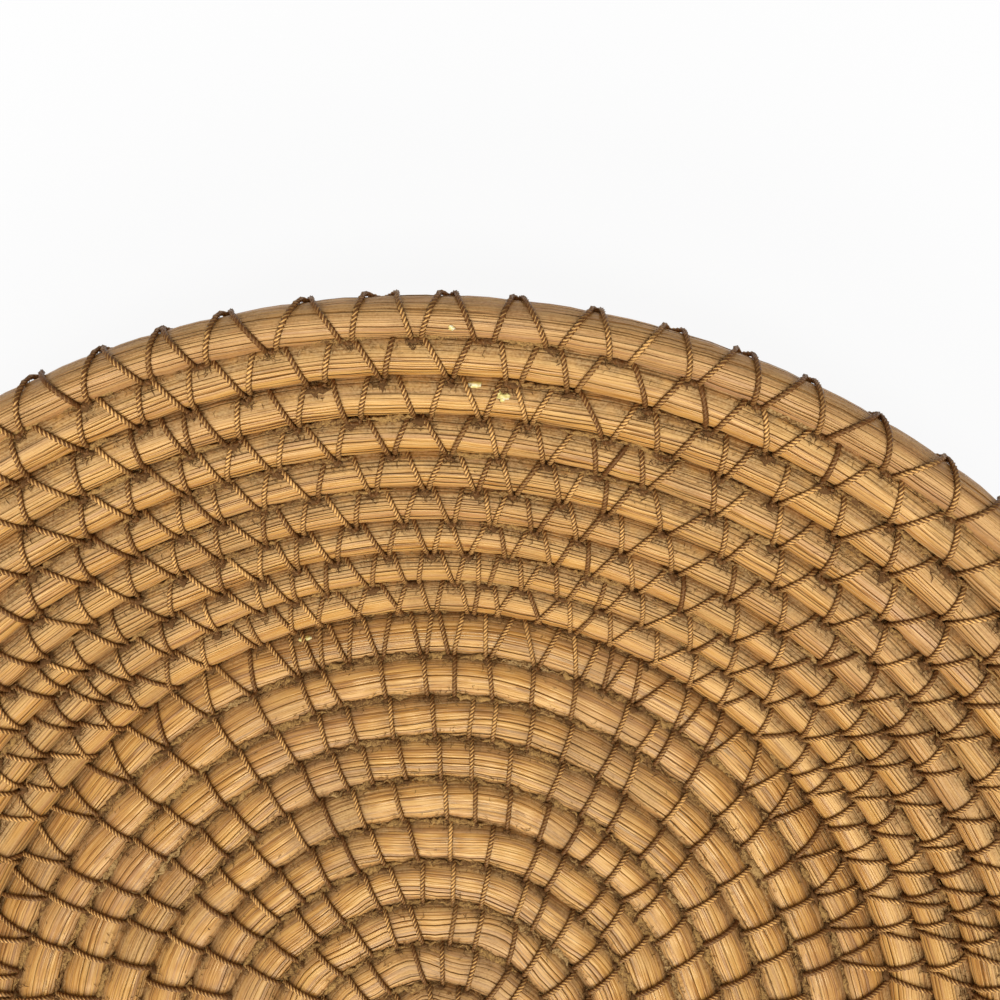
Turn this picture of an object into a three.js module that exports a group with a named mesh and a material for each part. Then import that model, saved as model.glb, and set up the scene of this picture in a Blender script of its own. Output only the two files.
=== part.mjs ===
// A coiled pine needle basket: a shallow, flared bowl. One bundle of needles winds outward in a spiral, flat
// across the base and then up the wall, and waxed thread sews each row of it to the row before.
// Millimetres, +Z up. The origin is where the axis of the coil meets the surface that the basket stands on.

import * as THREE from "three";

// The bundle of needles
const BUNDLE_HEIGHT = 7; // through the skin of the basket, from its inside face to its outside face
const BUNDLE_FLAT = 3.5; // width of the flattened inside and outside faces
const BASE_PITCH = 7.5; // from row to row across the base
const WALL_PITCH = 7; // from row to row up the wall
const ROW_GAP = 0.6; // between two rows, where they bulge towards each other
const JOIN_GAP = 0.3; // where the bundle of the wall carries on from that of the base

// The spiral, in turns counted from the axis and in degrees
const STEPS_PER_TURN = 24;
const START_ANGLE = 150; // direction of turn 0, counter-clockwise from +X
const FIRST_TURN = 0.5; // where the first few needles are caught
const CENTRE_TURNS = 2; // by this turn the bundle has swelled to its full size
const WALL_TURN = 34 / 3; // the bundle and the sewing of the wall start here, with one flat row
const BEND_TURN = 12; // the skin starts to bend up here
const BEND_TURNS = 1; // the bend is done after this many turns more
const END_TURN = 64 / 3; // the tip of the tail
const TAIL_TURNS = 0.25; // the bundle thins out over the last part of a turn
const TAIL_SHARE = 0.35; // of its full size, left at the tip
const FOOT_SLOPE = 40; // of the wall just above the base
const RIM_SLOPE = 36; // of the wall at the rim, where it flares out

// The sewing
const THREAD_DIAMETER = 0.9;
const THREAD_CLEARANCE = 0.3; // between the thread and the bundle that it lies on
const STITCH_INSET = 0.25; // from the middle of the groove to the edge of the thread where it turns back
const STITCH_SPACING = 7.5; // from one straight stitch to the next, along the row
const FIRST_SEWN_TURN = 4 / 3; // no row of stitches starts nearer to the axis
const VS_PER_STEP = 3; // V stitches on each straight step of the coil
const MOST_MITRE = 1.3; // limit on how far a sharp turn widens the thread

// Finishes
const BASE_NEEDLES = { color: 0x8f6a3c, roughness: 0.7 };
const WALL_NEEDLES = { color: 0xa5743a, roughness: 0.65 };
const STRAIGHT_THREAD = { color: 0x5a3218, roughness: 0.5 };
const V_THREAD = { color: 0x47250f, roughness: 0.5 };

const { lerp, smoothstep, degToRad, clamp } = THREE.MathUtils;
const HALF_HEIGHT = BUNDLE_HEIGHT / 2;
const HALF_FLAT = BUNDLE_FLAT / 2;
const ROUNDING = 1e-6; // of a step, so that a point on a station isn't taken for one just before it

// The thread's section is a triangle with the area of the round thread, lying on one side.
const THREAD_AREA = (Math.PI * THREAD_DIAMETER ** 2) / 4;
const THREAD_SIDE = Math.sqrt((4 * THREAD_AREA) / Math.sqrt(3));
const THREAD_HEIGHT = (THREAD_SIDE * Math.sqrt(3)) / 2;
const THREAD_LIFT = THREAD_CLEARANCE + THREAD_HEIGHT / 3; // from the bundle's face to the thread's middle
const STITCH_MARGIN = STITCH_INSET + (MOST_MITRE * THREAD_SIDE) / 2; // from the groove to the thread's middle

const bendAt = (turn) => smoothstep(turn, BEND_TURN, BEND_TURN + BEND_TURNS);
const pitchAt = (turn) => lerp(BASE_PITCH, WALL_PITCH, bendAt(turn));

// Slope of the skin in radians: level on the base, steepest at the foot of the wall, flaring towards the rim.
function slopeAt(turn) {
  const climbed = clamp((turn - BEND_TURN) / (END_TURN - BEND_TURN), 0, 1);
  return bendAt(turn) * degToRad(lerp(FOOT_SLOPE, RIM_SLOPE, climbed));
}

// Half the bundle's width, as far as its neighbours leave room.
function halfWidthAt(turn) {
  const room = turn < CENTRE_TURNS ? (BASE_PITCH * turn) / CENTRE_TURNS : pitchAt(turn);
  return (room - ROW_GAP) / 2;
}

// Room from the middle of a row to the next row on one side (1 outward, -1 inward), at a height above the
// middle of the bundle. It is less where the next row tilts in over this one.
function roomBeside(turn, side, height) {
  const tilt = Math.max(side * (slopeAt(turn + side) - slopeAt(turn)), 0);
  return pitchAt(turn) / 2 - height * Math.tan(tilt / 2);
}

// Half the bundle's flat inside face on one side.
function insideFlat(turn, side) {
  return Math.min(HALF_FLAT, roomBeside(turn, side, HALF_HEIGHT) - ROW_GAP / 2);
}

// How far a tilted section has to rise so that its lower corner stays level with its flat face.
const rollLift = (slope) => HALF_FLAT * Math.sin(slope) + HALF_HEIGHT * (Math.cos(slope) - 1);

// One station of the coil for each step: where its section lies, how it tilts and how big it is.
function coilStations() {
  const stations = [];
  const firstStep = Math.round(FIRST_TURN * STEPS_PER_TURN);
  const lastStep = Math.round(END_TURN * STEPS_PER_TURN);
  let radius = 0;
  let rise = 0;
  for (let step = firstStep; step <= lastStep; step++) {
    const turn = step / STEPS_PER_TURN;
    const slope = slopeAt(turn);
    if (turn <= CENTRE_TURNS) {
      radius = (BASE_PITCH * turn ** 2) / (2 * CENTRE_TURNS);
    } else {
      const halfStepBack = turn - 0.5 / STEPS_PER_TURN;
      radius += (pitchAt(halfStepBack) * Math.cos(slopeAt(halfStepBack))) / STEPS_PER_TURN;
      rise += (pitchAt(halfStepBack) * Math.sin(slopeAt(halfStepBack))) / STEPS_PER_TURN;
    }
    const swelled = halfWidthAt(turn) / halfWidthAt(Math.max(turn, CENTRE_TURNS));
    const thinned = lerp(1, TAIL_SHARE, clamp((turn - END_TURN) / TAIL_TURNS + 1, 0, 1));
    const share = swelled * thinned;
    // The thinning tail stays against the row below, so its middle line moves in along the slope.
    const drawnIn = halfWidthAt(turn) * (1 - thinned);
    stations.push({
      turn,
      slope,
      angle: degToRad(START_ANGLE) + 2 * Math.PI * turn,
      radius: radius - drawnIn * Math.cos(slope),
      z: HALF_HEIGHT * swelled + rise + rollLift(slope) - drawnIn * Math.sin(slope),
      halfWidth: halfWidthAt(turn) * thinned,
      halfHeight: HALF_HEIGHT * share,
      halfFlat: HALF_FLAT * share,
      flatOut: insideFlat(turn, 1) * share,
      flatIn: insideFlat(turn, -1) * share,
    });
  }
  return stations;
}

const STATIONS = coilStations();

// A point of a station's section: across is outward along the slope, above is square to it, into the bowl.
function placed(station, across, above) {
  const out = station.radius + across * Math.cos(station.slope) - above * Math.sin(station.slope);
  const up = station.z + across * Math.sin(station.slope) + above * Math.cos(station.slope);
  return new THREE.Vector3(out * Math.cos(station.angle), out * Math.sin(station.angle), up);
}

// The six corners of the bundle at a station.
function bundleSection(station) {
  const { halfWidth, halfHeight, halfFlat, flatOut, flatIn } = station;
  return [
    placed(station, halfWidth, 0),
    placed(station, flatOut, halfHeight),
    placed(station, -flatIn, halfHeight),
    placed(station, -halfWidth, 0),
    placed(station, -halfFlat, -halfHeight),
    placed(station, halfFlat, -halfHeight),
  ];
}

// A point and its surface normal on the bundle's inside face. Between two stations the face is straight.
function onInsideFace(turn, across, lift) {
  const along = (turn - STATIONS[0].turn) * STEPS_PER_TURN;
  const before = clamp(Math.floor(along + ROUNDING), 0, STATIONS.length - 2);
  const ends = [STATIONS[before], STATIONS[before + 1]];
  const points = ends.map((station) => placed(station, across, station.halfHeight + lift));
  const feet = ends.map((station) => placed(station, across, station.halfHeight));
  const position = points[0].lerp(points[1], along - before);
  const normal = position.clone().sub(feet[0].lerp(feet[1], along - before)).normalize();
  return { position, normal };
}

// A closed tube with flat ends through rings of as many points each, counter-clockwise seen along the tube.
function closedTube(rings) {
  const sides = rings[0].length;
  const positions = rings.flat().flatMap((point) => point.toArray());
  const index = [];
  for (let ring = 0; ring + 1 < rings.length; ring++) {
    for (let side = 0; side < sides; side++) {
      const here = ring * sides + side;
      const beside = ring * sides + ((side + 1) % sides);
      index.push(here, beside + sides, beside, here, here + sides, beside + sides);
    }
  }
  const lastRing = (rings.length - 1) * sides;
  for (let side = 1; side + 1 < sides; side++) {
    index.push(0, side, side + 1);
    index.push(lastRing, lastRing + side + 1, lastRing + side);
  }
  const geometry = new THREE.BufferGeometry();
  geometry.setAttribute("position", new THREE.Float32BufferAttribute(positions, 3));
  geometry.setIndex(index);
  geometry.computeVertexNormals();
  return geometry;
}

// Least distance between the corners of each row and those of the row one turn further out.
function leastRowGap(rings) {
  let least = Infinity;
  for (let ring = 0; ring + STEPS_PER_TURN < rings.length; ring++) {
    for (const inner of rings[ring]) {
      for (const outer of rings[ring + STEPS_PER_TURN]) {
        least = Math.min(least, inner.distanceTo(outer));
      }
    }
  }
  return least;
}

// Two rings near the middle of the straight step where the wall's bundle carries on from the base's.
function joinRings() {
  const before = Math.round((WALL_TURN - FIRST_TURN) * STEPS_PER_TURN);
  const rings = [bundleSection(STATIONS[before]), bundleSection(STATIONS[before + 1])];
  const length = rings[0][0].distanceTo(rings[1][0]);
  const between = (share) => rings[0].map((corner, side) => corner.clone().lerp(rings[1][side], share));
  const halfGap = JOIN_GAP / 2 / length;
  return { before, baseEnd: between(0.5 - halfGap), wallStart: between(0.5 + halfGap) };
}

// A thread laid through points on the bundle's face: triangles that share each turn's mitre plane.
function threadTube(path) {
  const last = path.length - 1;
  const rings = path.map(({ position, normal }, at) => {
    const back = path[Math.max(at - 1, 0)].position;
    const ahead = path[Math.min(at + 1, last)].position;
    const arriving = position.clone().sub(back).normalize();
    const leaving = ahead.clone().sub(position).normalize();
    const along = arriving.clone().add(leaving).normalize();
    const side = new THREE.Vector3().crossVectors(normal, along).normalize();
    const halfTurn = Math.acos(clamp(arriving.dot(leaving), -1, 1)) / 2;
    const mitre = at === 0 || at === last ? 1 : Math.min(1 / Math.cos(halfTurn), MOST_MITRE);
    const corner = (across, above) =>
      position.clone().addScaledVector(side, across * mitre).addScaledVector(normal, above);
    return [
      corner(THREAD_SIDE / 2, -THREAD_HEIGHT / 3),
      corner(-THREAD_SIDE / 2, -THREAD_HEIGHT / 3),
      corner(0, (2 * THREAD_HEIGHT) / 3),
    ];
  });
  return closedTube(rings);
}

// The point where a stitch turns back, beside the groove on one side of its row.
function stitchEnd(turn, side) {
  const reach = roomBeside(turn, side, HALF_HEIGHT + THREAD_LIFT) - STITCH_MARGIN;
  return onInsideFace(turn, side * reach, THREAD_LIFT);
}

// One turn of straight stitches: across the row, along the groove, back across, and so on.
function straightRow(startTurn) {
  const radius = BASE_PITCH * (startTurn + 0.5 - CENTRE_TURNS / 2);
  const count = Math.round((2 * Math.PI * radius) / STITCH_SPACING);
  const path = [];
  for (let stitch = 0; stitch < count; stitch++) {
    const turn = startTurn + (stitch + 0.5) / count;
    const firstSide = stitch % 2 ? 1 : -1;
    path.push(stitchEnd(turn, firstSide), stitchEnd(turn, -firstSide));
  }
  return threadTube(path);
}

// A row of V stitches. Every other row is half a V on, so that the rows make a net of diamonds.
function zigzagRow(startTurn, endTurn, row) {
  const legsPerTurn = 2 * VS_PER_STEP * STEPS_PER_TURN;
  const legs = Math.floor((endTurn - startTurn) * legsPerTurn + ROUNDING);
  const path = [];
  for (let leg = 0; leg < legs; leg++) {
    path.push(stitchEnd(startTurn + leg / legsPerTurn, (leg + row) % 2 ? 1 : -1));
  }
  return threadTube(path);
}

function piece(name, geometry, finish) {
  const mesh = new THREE.Mesh(geometry, new THREE.MeshStandardMaterial({ ...finish, metalness: 0 }));
  mesh.name = name;
  return mesh;
}

const basket = new THREE.Group();

// The needle bundle, cut where the base turns into the wall
const join = joinRings();
const coilRings = STATIONS.map(bundleSection);
const baseRings = coilRings.slice(0, join.before + 1);
const wallRings = coilRings.slice(join.before + 1);
basket.add(piece("base_coil", closedTube([...baseRings, join.baseEnd]), BASE_NEEDLES));
basket.add(piece("wall_coil", closedTube([join.wallStart, ...wallRings]), WALL_NEEDLES));
console.log(`base_coil: least gap to itself ${leastRowGap(baseRings).toFixed(2)} mm`);
console.log(`wall_coil: least gap to itself ${leastRowGap(wallRings).toFixed(2)} mm`);

// The sewing, one thread for each row: straight stitches up to the wall, then V stitches up to the tail
const rowName = (kind, row) => `${kind}_row_${String(row).padStart(2, "0")}`;
const straightRows = Math.floor(WALL_TURN - FIRST_SEWN_TURN + ROUNDING);
for (let row = 1; row <= straightRows; row++) {
  const stitches = straightRow(WALL_TURN - straightRows + row - 1);
  basket.add(piece(rowName("straight_stitches", row), stitches, STRAIGHT_THREAD));
}
const tailTurn = END_TURN - TAIL_TURNS;
const zigzagRows = Math.round(tailTurn - WALL_TURN);
for (let row = 1; row <= zigzagRows; row++) {
  const startTurn = WALL_TURN + row - 1;
  const endTurn = row < zigzagRows ? startTurn + 1 : tailTurn;
  basket.add(piece(rowName("v_stitches", row), zigzagRow(startTurn, endTurn, row), V_THREAD));
}

export default basket;
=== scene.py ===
"""Coiled pine needle basket: the bundle of needles and its sewing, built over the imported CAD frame.

The file is laid out as an add-on and run as a script: main() registers the classes and calls the operators
in order. Everything is in metres, in the frame of the CAD model: +Z is up, and the origin is where the axis
of the coil meets the floor. A place along the bundle is given in turns, counted from the axis. A place round
the bundle is an angle: 0 faces the next row, a quarter turn faces into the bowl, and a half turn faces the
row before.
"""

import math

import bpy
import numpy as np
from bpy.props import FloatProperty, FloatVectorProperty, IntProperty, PointerProperty
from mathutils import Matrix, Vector


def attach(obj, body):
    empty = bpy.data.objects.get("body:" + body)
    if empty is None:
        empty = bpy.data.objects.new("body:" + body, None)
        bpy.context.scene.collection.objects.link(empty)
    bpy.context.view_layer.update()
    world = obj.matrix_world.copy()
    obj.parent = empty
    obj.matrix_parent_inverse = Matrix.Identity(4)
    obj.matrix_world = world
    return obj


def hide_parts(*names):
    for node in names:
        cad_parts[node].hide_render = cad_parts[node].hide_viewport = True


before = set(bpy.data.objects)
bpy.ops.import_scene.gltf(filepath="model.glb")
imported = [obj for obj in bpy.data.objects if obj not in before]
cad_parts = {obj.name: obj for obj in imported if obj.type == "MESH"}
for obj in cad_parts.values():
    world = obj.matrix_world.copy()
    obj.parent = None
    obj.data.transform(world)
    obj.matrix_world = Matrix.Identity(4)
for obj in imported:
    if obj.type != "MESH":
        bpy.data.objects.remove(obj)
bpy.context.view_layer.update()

bl_info = {
    "name": "Coiled Pine Needle Basket",
    "version": (1, 0, 0),
    "blender": (4, 5, 0),
    "location": "3D View > Sidebar > Basket",
    "description": "Builds a coiled basket of pine needles, sewn row by row with waxed thread",
    "category": "Add Mesh",
}

MM = 0.001
FULL_TURN = 2.0 * math.pi
BODY = "root"
SEED = 11

# The working of the coil
TABLE_STEPS = 240  # steps of a turn in the tables of the middle line
SECTION_GRID = np.linspace(0.0, math.pi, 721)  # angles of the tables of the section
ROW_START = 1.0 / 3.0  # a row starts this part of a turn after a whole number of turns, on the near side
LEAST_RADIUS = 2.0 * MM  # for the length of a turn near the axis
HALF_FLAT = 1.75 * MM  # how far the tilted bundle stands off the corner that it rolls on
BASE_SETTLE = 0.7 * MM  # the base is flattened underneath by this much, which leaves room for the thread
BASE_PRESS = 0.5 * MM  # the rows of the base press into each other by this much on each side
WALL_PRESS = 0.12 * MM  # and the rows of the wall by this much
RIM_TRIM = 0.34  # share by which the last row is narrower on its free side
RIM_TURNS = 1.25  # the last row starts this many turns before the tip of the tail
RIM_CHANGE = 0.2  # turns over which the last row takes its own shape
WAVE_RATES = (3, 7, 13, 24)  # waves in a turn, which make the bundle uneven
WAVE_STRAY = (0.8, 1.2)  # each rate is off by a share between these
SWELL = 0.02  # share by which the bundle is thicker here and thinner there
SWAY = 0.1 * MM  # how far the rows of the wall go up and down
SWAY_SHIFT = 1.7  # sets the sway off from the swell
TWIST = 0.45  # radians by which the bundle is twisted one way and the other
TWIST_RATE = 0.5  # the twist has longer waves than the swell
TWIST_SHIFT = 2.9

# The working of the needles
NEEDLE_STEPS = (1.9 * MM, 3.0 * MM)  # from ring to ring along a needle, on the base and on the wall
LEAST_STEPS = 24  # rings in a row, at the least
STEP_MARGIN = 0.2  # share of a step that is kept free beside the ends of a needle
NEEDLE_SECTION = ((-1.0, -1.0), (-0.65, 0.0), (0.65, 0.0), (1.0, -1.0))
NEEDLE_RIB = (0.0, 1.0, 1.0, 0.0)  # 1 on the crown of a needle, 0 in the seams beside it, where painted shade goes
SIDE_GRAIN = 0.5  # how far the grain moves on from the middle of a needle to its edge
LANE_STRAY = 0.22  # spread of the needles about their lanes, in lanes
NEEDLE_LENGTHS = (0.65, 1.35)  # shares of the mean length
NEEDLE_WIDTHS = (0.62, 1.3)  # shares of the mean width
NEEDLE_LAP = 8.0 * MM  # a needle starts this far before the end of the last one in its lane
START_STAGGER = 2.0  # turns over which the first needles of the lanes start
NEEDLE_DRIFT = 0.04  # radians that a needle strays round the bundle over its length
NEEDLE_WANDER = ((1, 0.03), (2, 0.025), (7, 0.01))  # waves in a needle's length, and their size in radians
NEEDLE_LIFT = 0.008 * MM  # spread of the heights of the needles
SUNK_SHARE = 0.03  # of the needles, which lie lower
SUNK_DEPTH = 0.06 * MM
HEAVE_RATES = (4.0, 12.0)  # waves in a needle's length, by which it goes up and down
HEAVE_SIZES = (0.003, 0.02)  # millimetres
NEEDLE_TONES = (0.55, 0.15)  # mean and spread, from 0 for dark to 1 for pale
TONE_LIMITS = (0.1, 0.95)
ROSY_MOST = 0.45
GRAIN_RANGE = 100.0  # each needle has its own stretch of the grain
START_TAPER = 14.0 * MM  # a needle tapers over this length at its start
END_TAPER = 22.0 * MM  # and over this length at its end
TIP_WIDTH = 0.25  # share of its width that a needle has at its tips
TIP_DEPTH = 0.3 * MM  # how deep the tips lie in the bundle
BASE_WIDTH = 1.2  # the needles of the base are wider by this factor
BASE_WIDER = 0.2  # which goes back by this much up to the wall
LEAST_SHARE = 0.1  # of the full section, for the angles of needles at the start
WALL_GRIP = 0.7  # share by which a stitch of the wall darkens its needles less than one of the base, with grime and painted shade
WALL_PALER = 0.22  # tone that the needles of the wall have more
RIM_PALER = 0.04  # and those of the rim
ALL_DARKER = 0.05  # tone that all needles have less
GRIPPED_DARKER = 0.3  # and those beside a stitch, by grime and painted shade, or at their tips
RIM_ROSIER = 0.35
CORE_SIDES = 20
CORE_DEPTH = 0.16 * MM  # of the inside of the bundle, below its skin
CORE_SHARPNESS = 40  # the core comes up to the skin only close to the grooves
# a rib below 1 gives the core a part of the painted seam shade
CORE_LOOK = {"tone": 0.4, "rosy": 0.1, "rib": 0.45}

# Dust, partly painted shade in the grooves and under the next row: the angle from the outer groove at which
# it starts, and the degrees in which it gets full
OUTER_DUST_AND_SHADE = (76.0, 34.0)
INNER_DUST_AND_SHADE = (118.0, 28.0)
WALL_DUST_AND_SHADE = (96.0, 40.0)
BASE_DUST_AND_SHADE = 0.85  # most dust and painted shade on the base
RIM_LESS_DUST_AND_SHADE = 0.4  # share of dust and painted shade that the upper part of the last row has less
RIM_DUST_AND_SHADE = 0.3  # least dust and painted shade on the last row
UNDERSIDE = -0.2  # no dust or painted shade lies where the sine of the angle is less than this

# Strips for baking
MOST_STRIPS = 400  # a piece of more tubes than this is mapped in a grid of cells
STRIP_SHARE = 0.9  # of a cell, which its strip takes up
STRIP_MARGIN = 0.05

# The working of the sewing
LEAST_GAP = 0.6  # two stitches of a row are at least this many spacings apart
STRAIGHT_LEAN = (0.35, 0.65)  # millimetres that a straight stitch leans forward, mean and spread
STRAIGHT_UNEVEN = (0.94, 1.06)  # shares of the spacing
STRAIGHT_MOST = 1.42  # a straight stitch waits at most this many spacings for a wanted place
STRAIGHT_AFTER = 0.8 * MM  # a straight stitch goes in this far after the one of the row before
V_STRAY = 0.06  # spread of the V stitches about the middle between two V's, in spacings
V_UNEVEN = (0.92, 1.08)  # shares of the spacing
V_MOST = (1.7, 1.36)  # spacings that a V waits at most, in the first row of V's and after it
V_SPREADS = (0.1, 0.5)  # millimetres from the middle of a V to each of its legs, at the hole
V_WIDE = 0.7  # millimetres more at a wide one
V_WIDE_SHARE = 0.12
V_LEAN = (0.32, 0.07)  # mean and spread of how far a leg leans, as a share of the gap
V_LEAN_LIMITS = (0.16, 0.44)
RIM_UPRIGHT = 0.14  # share by which the legs on the rim lean less
BAR_MARGIN = 0.3 * MM  # the bar of a V goes this far past its legs
PULL_REACH = 2.5  # millimetres to each side of a thread in which it draws needles in
PULL_LESS = 0.9  # millimetres less on the wall
ROUNDING = 1e-6  # turns

# The working of the thread
PLIES = 3
THREAD_SIDES = 2 * PLIES
PLY_GROOVE = 0.72  # of the thread's radius, between two plies
PAINTED_LIGHT_RISE = 0.9  # how much the side of a thread that is painted as lit faces up
PATH_STEPS = 4  # rings between two control points of a stitch
FRONT_ANGLES = (140, 128, 114, 98, 82, 66, 52, 40, 24, 0, -32)
# darkness along the front: grime, and painted shade by the hole, over the top of the row, under the next row
# and over the rim
FRONT_GRIME_AND_SHADE = (1.0, 0.8, 0.4, 0.1, 0.0, 0.0, 0.15, 0.6, 0.9, 0.9, 0.9)
FRONT_LIFT = 0.04  # millimetres on the base
FRONT_LIFT_MORE = 0.08  # millimetres more on the wall
OVER_LIFTS = (0.16, 0.12, 0.06, 0.0, 0.06)  # millimetres, at the end of the front, over the row
RIM_LIFT = 0.36 * MM  # over the rim
RIM_SEWN = 1.15  # turns before the tip at which the stitches start to go over the rim
RIM_SEWN_CHANGE = 0.1  # turns
BACK_ANGLES = (-54, -74, -94, -114, -134, -150)
BACK_GRIME_AND_SHADE = (0.5, 0.1)  # grime and painted shade where the back starts and where it ends
BACK_LIFT = 0.06 * MM
TOP_ANGLE = 38  # where a stitch goes out of sight over its row
EDGE_ANGLE = -36  # where the front of a stitch ends and its back begins
HOLE_ANGLE = 40  # where the thread goes into the row before, from the middle of the groove
HOLE_DEPTH = 0.7 * MM
HOLE_INNER = 0.7  # share of the hole's angle, deep in the hole
HOLE_MOUTH = 0.1 * MM  # lift of the thread at the hole's mouth
BAR_ANGLES = (36, 41, 43, 41, 36)  # of the short bar of thread between the two legs of a V
BAR_LIFTS = (-0.4 * MM, 0.15 * MM, 0.3 * MM, 0.15 * MM, -0.4 * MM)
SLACK = (-0.03, 0.06)  # millimetres that a stitch lies lower or higher
DIRT_MOST = 0.8
DIRT_RARITY = 6  # few stitches are dirty all over

# The working of the lint
SKIN_STEP = 0.1 * MM  # a small step off the skin, which shows the way out of it
BED_STEP = 0.55 * MM  # from ring to ring along a strip of lint
BED_SIDES = 8
LEAST_BED_STEPS = 4
BED_TAPER = 5.0  # rings over which a strip gets thick
BED_TIP = 0.2  # share of its thickness at its ends
BED_LUMPS = (0.45, 1.3)  # shares of its thickness
BED_STRAY = 0.25  # of its width, by which a strip strays
BED_LENGTHS = (2.0, 12.0)  # millimetres
BED_WIDTHS = (0.7, 1.1)  # shares of the full width
BED_PALENESS = (0.1, 0.6)  # mean tone of a strip
BED_MOTTLE = 0.35  # its tones are up to this much darker and paler than the mean
BED_GREYS = (-3.0, 0.6)  # few strips are above 0, where they are grey
BED_HEIGHTS = (0.94, 1.06)  # shares of the full height
BASE_BED = (0.85 * MM, 0.32 * MM, 2.45 * MM)  # width to each side, depth and height of a strip on the base
WALL_BED = (0.6 * MM, 0.35 * MM, 2.3 * MM)
FIRST_BED = 1.4  # turn
CLUMP_REACH = (0.45, 1.1)  # millimetres along the groove
CLUMP_STRAY = 0.2  # millimetres
CLUMP_ANGLE = (2.0, 3.0)  # degrees above the hole, mean and spread
CLUMP_LIFT = 0.22 * MM
CLUMP_WIDTHS = (0.55, 0.95)  # millimetres
CLUMP_DEPTHS = (0.4, 0.6)  # millimetres
CLUMP_TONES = (-0.55, 0.05)
V_CLUMP = 1.0
STRAIGHT_CLUMP = 0.8  # size of the clump of a straight stitch
CRUMB_SIDES = 4
CRUMB_GIRTH = (0.5, 1.0, 0.5)
CRUMB_TILT = 0.3
CRUMB_BOW = 0.25
CRUMB_GREY = 0.3
CRUMB_LIFTS = (-0.05, 0.12)  # millimetres
CRUMB_LENGTHS = (0.3, 1.2)  # millimetres
CRUMB_THICKS = (0.06, 0.17)  # millimetres
CRUMB_TONES = (1.6, 1.6)
BASE_CRUMBS = ((46.0, 10.0), (134.0, 9.0))  # degrees round a row, mean and spread, on its two flanks
WALL_CRUMBS = (48.0, 11.0)
FIBRE_STRAY = 0.9  # millimetres along the groove
FIBRE_ANGLES = (HOLE_ANGLE + 3.0, 9.0)  # degrees, mean and spread
FIBRE_LIFTS = (0.0, 0.35)  # millimetres
FIBRE_LENGTHS = (0.4, 1.6)  # millimetres
FIBRE_THICKS = (0.07, 0.2)  # millimetres
FIBRE_TONES = (1.0, 4.0)  # most fibres are dark
FIBRE_TONE_RANGE = 0.8
FIBRE_DARKER = 0.2
WISP = (17.739, 72)  # turn and angle of a frayed end
WISP_FIBRES = 14
WISP_STRAY = 1.2  # millimetres along the row
WISP_SPREAD = 9.0  # degrees round it
WISP_LENGTHS = (1.5, 4.5)  # millimetres
WISP_LIFT = 0.15 * MM
WISP_THICK = 0.09 * MM

# Flecks of dry wax that the photograph shows: turn, angle in degrees, length and width in millimetres
FLECKS = (
    (18.8243, 44, 2.4, 1.1),
    (18.8197, 58, 1.3, 0.9),
    (18.8188, 67, 2.7, 1.0),
    (18.8176, 64, 1.1, 0.7),
    (18.8186, 76, 0.8, 0.6),
    (20.8287, 101, 1.1, 0.9),
    (11.8800, 61, 2.8, 0.7),
)
FLECK_CORNERS = 10
FLECK_RAGGED = (0.7, 1.15)
FLECK_HALF = 0.1 * MM  # half the thickness of a fleck

# The working of the finishes
MOST_NOISE = (0.36, 0.64)  # most values of a noise lie between these
WIDE_NOISE = (0.3, 0.7)  # and nearly all between these
NO_TO_FULL = (0.0, 1.0)
WARM_SHEEN = (1.0, 0.82, 0.48, 1.0)  # the old wax on needles and thread reflects a warm light
NEEDLE_GLOSS = 0.75
NEEDLE_ROUGHNESS = (0.18, 0.34)
BASE_SEAM_SHADE = 0.28  # how dark the painted shade in the seams between the needles is
WALL_SEAM_SHADE = 0.42
THREAD_GLOSS = 0.35
THREAD_ROUGHNESS = (0.3, 0.5)
THREAD_MIDDLE = 0.35  # share of the crest's colour halfway up a ply
LINT_MIDDLE = 0.6  # share of the pale colour in the middle tone of the lint

# The working of the stage
FLOOR_HALF = 3.0
FLOOR_CORNERS = ((-1, -1), (1, -1), (1, 1), (-1, 1))
FLOOR_SHADE = (0.86, 0.86, 0.87, 1.0)
WHITE = (1.0, 1.0, 1.0, 1.0)
OVERHEAD_LAMP = ((0.0, -0.34, 1.16), 0.44, 0.26)  # place, width and depth
FRONT_LAMP = ((-0.15, -0.86, 0.64), 0.9, 0.6)
LAMP_AIM = (0.0, 0.05, 0.02)
SENSOR_WIDTH = 36.0
CLIP_START = 0.01


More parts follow.
